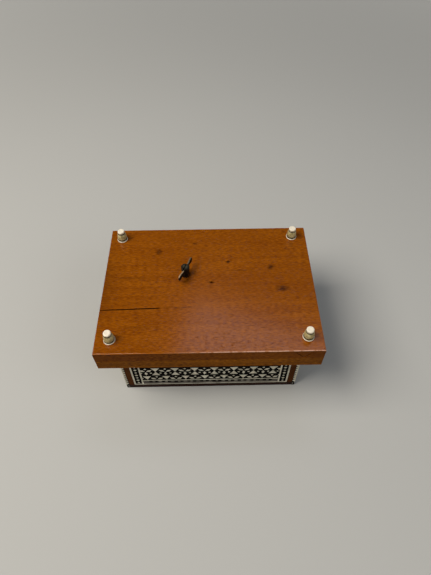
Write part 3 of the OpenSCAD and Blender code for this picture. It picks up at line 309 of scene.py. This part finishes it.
def raw_plywood(low, ply):
    """Unfinished birch plywood: pale faces with faint grain, and darker glue lines where
    its edges show the plies, counted up from the height low."""
    made, tree, shader, place = finish("birch_plywood", Roughness=0.75, Specular_IOR_Level=0.3)
    grain = streaks(tree, place, 30, 0.8, detail=4)
    level = node(tree, "SeparateXYZ", {0: place}).outputs[2]
    height = node(tree, "Math", {0: level, 1: low}, operation="SUBTRACT")
    layer = node(tree, "Math", {0: height, 1: ply}, operation="PINGPONG")
    glue = node(tree, "MapRange", {0: layer, 1: 0.0, 2: 0.12 * MM, 3: 0.6, 4: 0.0}, **SMOOTH)
    birch = node(tree, "ValToRGB", {0: grain}, stops=[(0.3, "#a98258"), (0.7, "#c9a577")])
    birch = node(tree, "Mix", {0: glue, 6: birch, 7: srgb("#6b4a2c")}, **COLOURS)
    bump = node(tree, "Bump", {"Height": grain, "Strength": 0.3, "Distance": 0.05 * MM})
    feed(tree, shader, {"Base Color": birch.outputs[MIXED], "Normal": bump})
    return made


def metal(name, dark, light, rough, stain, along="x", brush=0.35, metallic=1.0, lightened=()):
    """Metal with the marks of its making along one axis, at the width given in mm, and a
    tarnish that gathers in patches. Rubbed patches of it are lighter."""
    made, tree, shader, place = finish(name, Metallic=metallic)
    marks = streaks(tree, place, 8, brush, detail=3, turn=GRAIN_TURN[along])
    tarnish = streaks(tree, place, 5, 4, detail=4)
    tarnish = node(tree, "MapRange", {0: tarnish, 1: 0.5, 2: 0.72}, **SMOOTH)
    stained = node(tree, "Math", {0: tarnish, 1: 0.6}, operation="MULTIPLY")
    colour = node(tree, "ValToRGB", {0: marks}, stops=[(0.3, dark), (0.7, light)])
    colour = node(tree, "Mix", {0: stained, 6: colour, 7: srgb(stain)}, **COLOURS).outputs[MIXED]
    if lightened:
        bright = patches(tree, place, lightened)
        colour = node(tree, "Mix", {0: bright, 6: colour, 7: srgb("#77735f")}, **COLOURS)
        colour = colour.outputs[MIXED]
    worn = node(tree, "MapRange", {0: marks, 1: 0.3, 2: 0.7, 3: rough, 4: rough + 0.14}, **SMOOTH)
    tarnished = node(tree, "Math", {0: tarnish, 1: 0.18}, operation="MULTIPLY")
    dull = node(tree, "Math", {0: worn, 1: tarnished}, operation="ADD")
    bump = node(tree, "Bump", {"Height": marks, "Strength": 0.15, "Distance": 0.03 * MM})
    feed(tree, shader, {"Base Color": colour, "Roughness": dull, "Normal": bump})
    return made


def moulded_nylon():
    """Natural nylon 6.6 from a mould: warm white, waxy, with a faint flow mottle."""
    made, tree, shader, place = finish("moulded_nylon", Specular_IOR_Level=0.45)
    flow = streaks(tree, place, 3, 2, detail=3)
    white = node(tree, "ValToRGB", {0: flow}, stops=[(0.3, "#cfc7b2"), (0.7, "#e2dccb")])
    dull = node(tree, "MapRange", {0: flow, 1: 0.3, 2: 0.7, 3: 0.38, 4: 0.5}, **SMOOTH)
    feed(tree, shader, {"Base Color": white, "Roughness": dull})
    return made


BOARD_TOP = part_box("base_board")[1].z
FLOOR_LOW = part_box("floor_panel")[0].z
PLY = 1.0 * MM
# Where the base board is marked: knots, handling stains, the darkened left end and the
# shadows of dirt at the screw holes
BOARD_MARKS = [
    (-44.6, 37.5, 4.2, 5.2, 1.0), (-12.0, 47.5, 3.8, 3.0, 0.6), (54.6, 18.1, 4.6, 4.6, 0.95),
    (62.8, -5.3, 8.5, 4.6, 0.95), (75.0, 44.0, 3.0, 5.0, 0.4), (29.0, 15.0, 16.0, 1.2, 0.45),
    (-98.0, 4.0, 30.0, 60.0, 0.5), (-70.0, 8.0, 26.0, 2.4, 0.4), (-19.3, 5.0, 10.0, 7.0, 0.45),
    (-26.0, -23.4, 26.0, 1.0, 0.45), (-69.8, -20.6, 2.6, 1.5, 0.5),
    (17.4, 25.0, 4.2, 1.8, 0.8), (2.6, 2.2, 5.0, 1.8, 0.8), (-55.0, -42.0, 22.0, 3.0, 0.3),
]
# The level bands of the walls' marquetry lie between strings, and end at the upright ones
STRING_W, BAND_W = 1.4 * MM, 5.8 * MM
PANEL_LOW, PANEL_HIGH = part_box("front_inlay")
WALL_BANDS = [
    (PANEL_LOW.z + STRING_W, PANEL_LOW.z + STRING_W + BAND_W),
    (PANEL_HIGH.z - STRING_W - BAND_W, PANEL_HIGH.z - STRING_W),
]
BAND_ENDS = (
    PANEL_HIGH.x - 2 * STRING_W - BAND_W,
    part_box("left_inlay")[1].y - 2 * STRING_W - BAND_W,
)
# The bone plates on the lid's side edges are darker in clouds over their whole height
LID_SIDE_BANDS = [(0.0, 8 * MM)]
HUB_MIDDLE = (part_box("key_hub")[0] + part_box("key_hub")[1]) / 2
HUB_TOP = (HUB_MIDDLE.x / MM, HUB_MIDDLE.y / MM, 3.2, 3.2, 0.8)

# The board's face is bright and glossy. Its edges, the rails, the walls and the lid's edging
# are darker, one after another, and dulled by dirt and handling. On the board's edges and
# the rails the darker tone is partly painted shade of their upright faces
WOOD = {"dark": "#763a00", "light": "#9c5806", "pore": "#3a1a02", "gloss": 0.11}
# Darker copies of the board's wood for its edges and the rails: partly painted shade
SHADED_SIDE = {"dark": "#4a2201", "light": "#834807", "pore": "#241001", "gloss": 0.3, "shine": 0.015}
SHADED_RAIL = {"dark": "#552d02", "light": "#965909", "pore": "#241001", "gloss": 0.3, "shine": 0.015}
WALL = {"dark": "#361b08", "light": "#613612", "pore": "#180b03", "gloss": 0.4, "shine": 0.01}
EDGE = {"dark": "#1c0c05", "light": "#361a0d", "pore": "#0c0503", "gloss": 0.4, "shine": 0.05}
# The insides of the split and the scores: near black as painted shade
SPLIT_SHADE = {"dark": "#1a0a03", "light": "#2c1105", "pore": "#0c0401", "gloss": 0.6, "shine": 0.05}
# Gunmetal gone brown-black with age, and painted highlights on the wings' upper faces,
# pale on the front wing and dim on the other
GUNMETAL = {"dark": "#1d1a15", "light": "#3d382f", "rough": 0.42, "stain": "#14110d", "along": "z"}
WING_HIGHLIGHT = {"dark": "#93795a", "light": "#c2a682", "rough": 0.5, "stain": "#7d6a50", "along": "z"}
DIM_WING_HIGHLIGHT = {"dark": "#4c4636", "light": "#6f6650", "rough": 0.5, "stain": "#3a3528", "along": "z"}
# The painted highlights are only partly metallic, so that their painted colour hides most of the
# metal's own reflection
HIGHLIGHT_METALLIC = 0.3

FINISHES = {
    "base_board": varnished_wood("shellacked_mahogany_board", "x", marks=BOARD_MARKS, **WOOD),
    "board_x": varnished_wood("shellacked_mahogany_edge", "x", **SHADED_SIDE),
    "board_y": varnished_wood("shellacked_mahogany_side_edge", "y", **SHADED_SIDE),
    "lightened": corner_painted_highlight(),
    "split": varnished_wood("split_wood_painted_shade", "x", **SPLIT_SHADE),
    "rails_x": varnished_wood("shellacked_mahogany_rail", "x", **SHADED_RAIL),
    "rails_y": varnished_wood("shellacked_mahogany_side_rail", "y", **SHADED_RAIL),
    "case_x": varnished_wood("stained_beech_wall", "x", **WALL),
    "case_y": varnished_wood("stained_beech_side_wall", "y", **WALL),
    "edging_x": varnished_wood("stained_walnut_edging", "x", **EDGE),
    "edging_y": varnished_wood("stained_walnut_side_edging", "y", **EDGE),
    "ground": ebonised_ground(),
    "bone": bone_inlay("camel_bone_inlay"),
    "wall_bone": bone_inlay("camel_bone_wall_inlay", WALL_BANDS, BAND_ENDS),
    "lid_side_bone": bone_inlay("camel_bone_lid_edge_inlay", LID_SIDE_BANDS),
    "foot": turned_bone(BOARD_TOP),
    "velvet": cotton_velvet(),
    "plywood": raw_plywood(FLOOR_LOW, PLY),
    # Rolled brass, warm and softly brushed, browned in patches
    "brass": metal("rolled_brass", "#8a6a2c", "#c9a552", 0.3, "#6b4f24"),
    "gunmetal": metal("tarnished_gunmetal", **GUNMETAL),
    "hub": metal("tarnished_gunmetal_hub", lightened=[HUB_TOP], **GUNMETAL),
    # Painted highlights for the wings' up-facing faces, bright and dim
    "worn": metal("gunmetal_wing_painted_highlight", metallic=HIGHLIGHT_METALLIC, **WING_HIGHLIGHT),
    "dull": metal("gunmetal_wing_dim_painted_highlight", metallic=HIGHLIGHT_METALLIC, **DIM_WING_HIGHLIGHT),
    # Nickel plate: bright, cool and nearly smooth
    "plated": metal("nickel_plated_steel", "#8f9092", "#c6c7c8", 0.2, "#7c7a74"),
    # Hardened and tempered steel, ground, blue-grey
    "spring": metal("tempered_spring_steel", "#4b4f57", "#83878e", 0.24, "#4a4238"),
    # Zinc as it leaves the die: dull grey with broad flow marks
    "zinc": metal("die_cast_zinc", "#7e7d79", "#a6a49e", 0.45, "#686660", brush=1.2),
    "nylon": moulded_nylon(),
}
NODE_FINISH = {
    "case_x": ["lid_board", "front_board", "back_board"],
    "case_y": ["left_board", "right_board"],
    "edging_x": ["lid_edging"],
    "ground": [
        "lid_marquetry", "lid_side_marquetry", "front_marquetry", "back_marquetry",
        "left_marquetry", "right_marquetry",
    ],
    "bone": ["lid_inlay"],
    "lid_side_bone": ["lid_side_inlay"],
    "wall_bone": ["front_inlay", "back_inlay", "left_inlay", "right_inlay"],
    "velvet": ["lid_lining", "wall_lining", "floor_lining"],
    "plywood": ["floor_panel", "floor_battens"],
    "base_board": ["base_board"],
    "rails_x": ["front_rail", "back_rail"],
    "rails_y": ["left_rail", "right_rail"],
    "foot": ["foot_front_left", "foot_front_right", "foot_back_left", "foot_back_right"],
    "hub": ["key_hub"],
    "gunmetal": ["key_wings"],
    "brass": [
        "hinge_lid_leaves", "hinge_pins", "hinge_lid_screws", "hinge_case_leaves",
        "hinge_case_screws", "comb_screws", "governor_screws", "great_wheel", "cylinder",
        "cylinder_pinion", "cylinder_gear", "governor_wheel", "stop_bush",
    ],
    "zinc": ["bedplate"],
    "plated": [
        "spring_barrel", "governor_bracket", "movement_screws", "winding_arbor",
        "cylinder_arbor", "governor_arbor", "governor_worm", "stop_rod",
    ],
    "spring": ["mainspring", "comb", "clutch_spring", "stop_spring"],
    "nylon": ["governor_fly"],
}
for finish_name, cad_names in NODE_FINISH.items():
    for cad_name in cad_names:
        for slot in NODES[cad_name].material_slots:
            slot.material = FINISHES[finish_name]


# ---- Bench work ----


def only(piece):
    """Leaves this piece alone selected and active."""
    bpy.ops.object.select_all(action="DESELECT")
    piece.select_set(True)
    bpy.context.view_layer.objects.active = piece


def shaped(piece, kind, **settings):
    """Adds a modifier and applies it."""
    modifier = piece.modifiers.new(kind.lower(), kind)
    for name, value in settings.items():
        setattr(modifier, name, value)
    only(piece)
    bpy.ops.object.modifier_apply(modifier=modifier.name)


def settled(piece, name):
    """Names the piece and puts its place, turn and scale in its mesh."""
    only(piece)
    bpy.ops.object.transform_apply(location=True, rotation=True, scale=True)
    piece.name = piece.data.name = name
    return piece


def fitted(piece, body, finish_name, slot, *stands_for):
    """Gives a finished piece its material, its body and the CAD pieces it stands for."""
    piece.data.materials.clear()
    piece.data.materials.append(FINISHES[finish_name])
    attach(piece, body)
    if stands_for:
        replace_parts(piece, *stands_for)


def rounded_edges(piece, width, segments=2, angle=30, flat_faces=True):
    """Eases the edges sharper than the angle, by a width in mm, and smooths across them."""
    shaped(piece, "BEVEL", width=width * MM, segments=segments,
           limit_method="ANGLE", angle_limit=math.radians(angle))
    only(piece)
    bpy.ops.object.shade_smooth_by_angle(angle=math.radians(angle))
    if flat_faces:
        shaped(piece, "WEIGHTED_NORMAL", keep_sharp=True)


def copy_of(node_name, name):
    """A merged copy of a CAD piece, free of its body, to be worked on."""
    only(NODES[node_name])
    bpy.ops.object.duplicate()
    piece = bpy.context.view_layer.objects.active
    bpy.ops.object.parent_clear(type="CLEAR_KEEP_TRANSFORM")
    bpy.ops.object.mode_set(mode="EDIT")
    bpy.ops.mesh.select_all(action="SELECT")
    bpy.ops.mesh.remove_doubles(threshold=2e-6)
    bpy.ops.mesh.normals_make_consistent(inside=False)
    bpy.ops.mesh.dissolve_limited(angle_limit=math.radians(0.5))
    bpy.ops.object.mode_set(mode="OBJECT")
    piece.name = piece.data.name = name
    return piece


def cut(piece, cutter):
    """Takes the cutter out of the piece and throws it away."""
    shaped(piece, "BOOLEAN", operation="DIFFERENCE", object=cutter, solver="EXACT")
    only(cutter)
    bpy.ops.object.delete()


def bar(centre, size, turn=(0, 0, 0)):
    """A plain box of that size, in mm, as the start of a piece or a cutter."""
    bpy.ops.object.select_all(action="DESELECT")
    bpy.ops.mesh.primitive_cube_add(size=MM, location=[c * MM for c in centre], rotation=turn)
    piece = bpy.context.view_layer.objects.active
    piece.scale = size
    return settled(piece, "bar")


# ---- Plinth ----

top = BOARD_TOP / MM
half_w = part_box("base_board")[1].x / MM
half_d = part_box("base_board")[1].y / MM

# The split runs in from the left edge along the grain, about the line y = SPLIT_LINE
SPLIT_ENDS = (-half_w, -25.0), (-39.6, -23.8)
SPLIT_LINE = -24.5
SPLIT_W, SPLIT_DEPTH = 1.25, 4.0
SPLIT_STEPS = 16
# Nicks along the front edge: x and size
NICKS = [
    (-28.4, 1.1), (-9.2, 1.5), (3.1, 0.9), (10.0, 1.3), (26.0, 1.0), (61.0, 0.8), (-63.0, 0.7),
]
# Two scores that meet near the right end of the front face: x, drop below the top, length
# and lean in degrees. Their cutters lie in the face, so half of the thickness sinks in
SCORES = [(70.4, 6.6, 11.2, -42.5), (77.6, 5.9, 11.9, 34.8)]
SCORE_W, SCORE_T = 0.9, 0.8
SCORED_FROM, SCORED_TO = 65, 83


def crack_cutter(start, end, width, depth):
    """A straight split in the board's outer face from one point to another, a little wider
    in its second half, that closes at its end and with depth."""
    length = end[0] - start[0]
    middle = (start[1] + end[1]) / 2
    # One millimetre longer than the split, so that it breaks out of the board's edge
    piece = bar(((start[0] + end[0]) / 2 - 0.5, middle, top), (length + 1, width, 2 * depth))
    bpy.ops.object.mode_set(mode="EDIT")
    for i in range(1, SPLIT_STEPS):
        bpy.ops.mesh.select_all(action="SELECT")
        bpy.ops.mesh.bisect(
            plane_co=((start[0] + length * i / SPLIT_STEPS) * MM, 0, 0), plane_no=(1, 0, 0))
    bpy.ops.object.mode_set(mode="OBJECT")
    for v in piece.data.vertices:
        u = min(1.0, max(0.0, (v.co.x / MM - start[0]) / length))
        wander = 0.04 * math.sin(11 * u)
        run = (start[1] + (end[1] - start[1]) * u + wander) * MM
        closing = min(1.0, (1 - u) * 10 + 0.15)
        spread = (0.9 + 0.35 * u) * closing
        narrowing = 0.5 if v.co.z < BOARD_TOP else 1.0
        v.co.y = run + (v.co.y - middle * MM) * spread * narrowing
        rising = min(1.0, (1 - u) * 3 + 0.25)
        v.co.z = BOARD_TOP + (v.co.z - BOARD_TOP) * rising
    return piece


board = copy_of("base_board", "base_board_worn")
cut(board, crack_cutter(*SPLIT_ENDS, SPLIT_W, SPLIT_DEPTH))
for x, size in NICKS:
    nick = (size * 1.3, size * 0.62, size * 0.62)
    cut(board, bar((x, -half_d, top), nick, (math.radians(45), 0.2, 0.15)))
for x, drop, length, lean in SCORES:
    score = (SCORE_W, SCORE_T, length)
    cut(board, bar((x, -half_d, top - drop), score, (0, math.radians(lean), 0)))
rounded_edges(board, 0.12, angle=40)
fitted(board, "case", "base_board", "varnished_wood", "base_board")
# The four edges are darker and duller than the face, partly as painted shade of their
# upright faces; the insides of the split and the scores are painted dark as shade, and
# the front's upper corner carries a painted highlight in pale dashes
for finish_name in ("board_x", "board_y", "split", "lightened"):
    board.data.materials.append(FINISHES[finish_name])
EDGE_X, EDGE_Y, SHADED_RECESS, HIGHLIGHTED_CORNER = 1, 2, 3, 4
for face in board.data.polygons:
    x, y, z = (c / MM for c in face.center)
    upright = face.normal.z < 0.4
    behind = y + half_d
    if upright and max(abs(x) - half_w, abs(y) - half_d) > -1.0:
        # The scores' insides: painted shade
        if SCORED_FROM < x < SCORED_TO and 0.05 < behind < 0.5:
            face.material_index = SHADED_RECESS
        elif abs(face.normal.y) > abs(face.normal.x):
            face.material_index = EDGE_X
        else:
            face.material_index = EDGE_Y
    # The split's walls: painted shade
    elif upright and z > top - SPLIT_DEPTH - 0.5 and abs(y - SPLIT_LINE) < 1.5:
        face.material_index = SHADED_RECESS
    # The rounded front edge near the top: painted highlight
    elif 0.25 < face.normal.z < 0.97 and face.normal.y < -0.2 and behind < 0.6:
        face.material_index = HIGHLIGHTED_CORNER

for side, along in [("front", "x"), ("back", "x"), ("left", "y"), ("right", "y")]:
    rail = copy_of(side + "_rail", side + "_rail_eased")
    rounded_edges(rail, 0.18)
    fitted(rail, "case", "rails_" + along, "varnished_wood", side + "_rail")


# ---- Feet ----


def turned(name, centre, rings, sides=48):
    """A solid lathe-turned about z: a disc drawn up and sized ring by ring. Rings are
    (radius, height) in mm, and the last one closes the end."""
    bpy.ops.object.select_all(action="DESELECT")
    bpy.ops.mesh.primitive_circle_add(
        vertices=sides, radius=rings[0][0] * MM, fill_type="NGON",
        location=(centre[0] * MM, centre[1] * MM, rings[0][1] * MM))
    piece = bpy.context.view_layer.objects.active
    bpy.ops.object.mode_set(mode="EDIT")
    bpy.ops.mesh.select_all(action="SELECT")
    for (last_r, last_z), (r, z) in zip(rings, rings[1:]):
        bpy.ops.mesh.extrude_region_move(
            TRANSFORM_OT_translate={"value": (0, 0, (z - last_z) * MM)})
        bpy.ops.transform.resize(
            value=(r / last_r, r / last_r, 1),
            center_override=(centre[0] * MM, centre[1] * MM, z * MM))
    bpy.ops.mesh.select_all(action="SELECT")
    bpy.ops.mesh.normals_make_consistent(inside=False)
    bpy.ops.object.mode_set(mode="OBJECT")
    settled(piece, name)
    bpy.ops.object.shade_smooth_by_angle(angle=math.radians(38))
    return piece


# Flange with its groove, swelling barrel with a scribed line, neck, and the dished button
FOOT_RINGS = [
    (4.2, 0.0), (4.6, 0.3), (4.6, 0.75), (4.42, 1.0), (4.1, 1.1), (3.5, 1.12), (3.4, 1.3),
    (3.56, 1.6), (3.84, 2.2), (4.04, 3.0), (4.1, 3.8), (4.07, 4.5), (4.02, 4.6), (4.04, 4.7),
    (3.97, 5.6), (3.82, 6.4), (3.6, 7.1), (3.34, 7.7), (3.05, 8.08), (2.72, 8.3),
    (2.54, 8.5), (2.56, 8.68), (2.8, 8.86), (2.96, 9.05), (3.0, 9.4), (3.0, 10.3),
    (2.93, 10.62), (2.74, 10.85), (2.45, 10.97), (2.1, 11.0), (1.7, 10.95), (1.2, 10.84),
    (0.6, 10.78), (0.02, 10.77),
]
for side_y in ("front", "back"):
    for side_x in ("left", "right"):
        cad_name = "foot_%s_%s" % (side_y, side_x)
        low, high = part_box(cad_name)
        centre = ((low.x + high.x) / 2 / MM, (low.y + high.y) / 2 / MM)
        foot = turned(cad_name + "_turned", centre, [(r, top + z) for r, z in FOOT_RINGS])
        fitted(foot, "case", "foot", "turned_bone", cad_name)


# ---- Key ----

hub = copy_of("key_hub", "key_hub_turned")
rounded_edges(hub, 0.22)
fitted(hub, "winding_key", "hub", "dark_steel", "key_hub")
wings = copy_of("key_wings", "key_wings_stamped")
rounded_edges(wings, 0.28, segments=3)
fitted(wings, "winding_key", "gunmetal", "dark_steel", "key_wings")
# The up-facing faces of the front wing carry a bright painted highlight, and those of the other a
# dim one
wings.data.materials.append(FINISHES["worn"])
wings.data.materials.append(FINISHES["dull"])
for face in wings.data.polygons:
    if face.normal.z > 0.5:
        face.material_index = 1 if face.center.y < HUB_MIDDLE.y - 2 * MM else 2


# ---- Case and lid woodwork ----

for side, along in [("front", "x"), ("back", "x"), ("left", "y"), ("right", "y")]:
    wall = copy_of(side + "_board", side + "_board_eased")
    rounded_edges(wall, 0.15)
    fitted(wall, "case", "case_" + along, "case_wood", side + "_board")
edging = copy_of("lid_edging", "lid_edging_eased")
rounded_edges(edging, 0.25)
fitted(edging, "lid", "edging_x", "dark_wood", "lid_edging")
edging.data.materials.append(FINISHES["edging_y"])
for face in edging.data.polygons:
    if abs(face.center.x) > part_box("lid_inlay")[1].x:
        face.material_index = 1
BRASS_BODIES = {"hinge_lid_leaves": "lid", "hinge_case_leaves": "case", "hinge_pins": "lid"}
for cad_name, body in BRASS_BODIES.items():
    leaf = copy_of(cad_name, cad_name + "_eased")
    rounded_edges(leaf, 0.1)
    fitted(leaf, body, "brass", "brass", cad_name)


# ---- Velvet ----

# The card's edge is rounded by this share of its thickness, and its face is cut this finely
SOFT_EDGE = 0.42
CELL = 3.0
LINING_T = 0.8


def velvet_panel(name, low, high, body, crown, hole=None):
    """Velvet drawn over card: a soft-edged panel, crowned by so much at its middle and
    lightly uneven, inside the box from low to high, in mm. A hole is x, y and radius."""
    size = [b - a for a, b in zip(low, high)]
    centre = [(a + b) / 2 for a, b in zip(low, high)]
    thin = size.index(min(size))
    piece = bar(centre, size)
    if hole:
        bpy.ops.object.select_all(action="DESELECT")
        bpy.ops.mesh.primitive_cylinder_add(
            vertices=32, radius=hole[2] * MM, depth=6 * MM,
            location=(hole[0] * MM, hole[1] * MM, centre[2] * MM))
        cut(piece, bpy.context.view_layer.objects.active)
    rounded_edges(piece, size[thin] * SOFT_EDGE, segments=3, flat_faces=False)
    bpy.ops.object.mode_set(mode="EDIT")
    wide = [axis for axis in range(3) if axis != thin]
    for axis in wide:
        count = int(size[axis] / CELL)
        across = [1.0 if k == axis else 0.0 for k in range(3)]
        for i in range(1, count):
            place = [0, 0, 0]
            place[axis] = (low[axis] + size[axis] * i / count) * MM
            bpy.ops.mesh.select_all(action="SELECT")
            bpy.ops.mesh.bisect(plane_co=place, plane_no=across)
    bpy.ops.object.mode_set(mode="OBJECT")
    for v in piece.data.vertices:
        x, y, z = (c / MM for c in v.co)
        inset = 1.0
        for axis in wide:
            u = (v.co[axis] / MM - low[axis]) / size[axis]
            inset *= min(1.0, max(0.0, 4 * u * (1 - u)))
        wave = 0.5 + 0.25 * math.sin(x * 0.31 + 1.7) + 0.25 * math.sin((y + z) * 0.27 + x * 0.11)
        keep = 1 - crown * (1 - inset ** 0.5) - crown * 0.5 * wave
        v.co[thin] = (centre[thin] + (v.co[thin] / MM - centre[thin]) * keep) * MM
    settled(piece, name)
    fitted(piece, body, "velvet", "velvet")
    bpy.ops.object.shade_smooth()
    return piece


def box_mm(node_name):
    low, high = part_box(node_name)
    return [c / MM for c in low], [c / MM for c in high]


low, high = box_mm("lid_lining")
pad = velvet_panel("lid_pad_velvet", low, high, "lid", 0.35)
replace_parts(pad, "lid_lining")

# The front and back cards fit between the two side ones
low, high = box_mm("wall_lining")
inner_left, inner_right = low[0] + LINING_T, high[0] - LINING_T
walls = {
    "front": ((inner_left, low[1], low[2]), (inner_right, low[1] + LINING_T, high[2])),
    "back": ((inner_left, high[1] - LINING_T, low[2]), (inner_right, high[1], high[2])),
    "left": ((low[0], low[1], low[2]), (inner_left, high[1], high[2])),
    "right": ((inner_right, low[1], low[2]), (high[0], high[1], high[2])),
}
for side, (a, b) in walls.items():
    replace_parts(velvet_panel(side + "_wall_velvet", a, b, "case", 0.2), "wall_lining")

# The floor's velvet is cut out round the stop's bush
low, high = box_mm("floor_lining")
bush_low, bush_high = box_mm("stop_bush")
bush_r = (bush_high[0] - bush_low[0]) / 2
bush = [(bush_low[0] + bush_high[0]) / 2, (bush_low[1] + bush_high[1]) / 2, bush_r + 0.1]
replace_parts(velvet_panel("floor_velvet", low, high, "case", 0.15, hole=bush), "floor_lining")


# ---- Studio ----

# The paper keeps its tone far off, where the lamps don't reach
stage_tone, tree, shader, place = finish(
    "studio_paper", Base_Color=srgb("#c0c2c0"), Roughness=0.9, Specular_IOR_Level=0.1,
    Emission_Color=srgb("#c9c7c1"))
distance = node(tree, "VectorMath", {0: place}, operation="LENGTH").outputs["Value"]
far = node(tree, "MapRange", {0: distance, 1: 0.45, 2: 2.2, 4: 0.9}, **SMOOTH)
feed(tree, shader, {"Emission Strength": far})
bpy.ops.object.select_all(action="DESELECT")
bpy.ops.mesh.primitive_plane_add(size=12)
floor = bpy.context.view_layer.objects.active
floor.name = "studio_floor"
floor.data.materials.append(stage_tone)

# A pale room to the horizon, dim overhead
world = bpy.data.worlds.new("studio")
world.use_nodes = True
tree = world.node_tree
tree.nodes.clear()
place = node(tree, "TexCoord").outputs["Generated"]
height = node(tree, "SeparateXYZ", {0: place}).outputs[2]
room = node(tree, "ValToRGB", {0: height}, stops=[
    (0.0, "#c9c7c1"), (0.14, "#bdbcb8"), (0.42, "#434547"), (1.0, "#2e2f31")])
sky = node(tree, "Background", {"Color": room, "Strength": 1.0})
node(tree, "OutputWorld", {"Surface": sky})
bpy.context.scene.world = world


def panel_light(name, place, aim, size, power, colour="#ffffff"):
    """A soft rectangular lamp at a place, aimed at a point, in metres and watts."""
    lamp = bpy.data.lights.new(name, "AREA")
    lamp.shape = "RECTANGLE"
    lamp.size, lamp.size_y = size
    lamp.energy = power
    lamp.color = srgb(colour)[:3]
    holder = bpy.data.objects.new(name, lamp)
    bpy.context.scene.collection.objects.link(holder)
    holder.location = place
    reach = [a - b for a, b in zip(aim, place)]
    away = math.hypot(reach[0], reach[1])
    holder.rotation_euler = (math.atan2(away, -reach[2]), 0, math.atan2(-reach[0], reach[1]))


# The window is the patch of cool light that the varnish mirrors near the front
MIDDLE = (0, 0, 0.06)
panel_light("key_softbox", (-0.75, -0.2, 1.2), MIDDLE, (0.8, 0.8), 18.0, "#fff6ea")
panel_light("fill_softbox", (0.9, -0.5, 0.9), MIDDLE, (0.8, 0.8), 3.0)
panel_light("window", (0.165, 0.405, 1.0), MIDDLE, (0.56, 0.22), 0.7, "#eef0ff")

lens = bpy.data.cameras.new("camera")
lens.sensor_width = 36.0
lens.lens = 28.17
camera = bpy.data.objects.new("camera", lens)
bpy.context.scene.collection.objects.link(camera)
camera.location = (0.00404, -0.23374, 0.39015)
camera.rotation_euler = [math.radians(a) for a in (37.1288, 0.38548, -0.93082)]
bpy.context.scene.camera = camera
bpy.context.scene.view_settings.view_transform = "Standard"
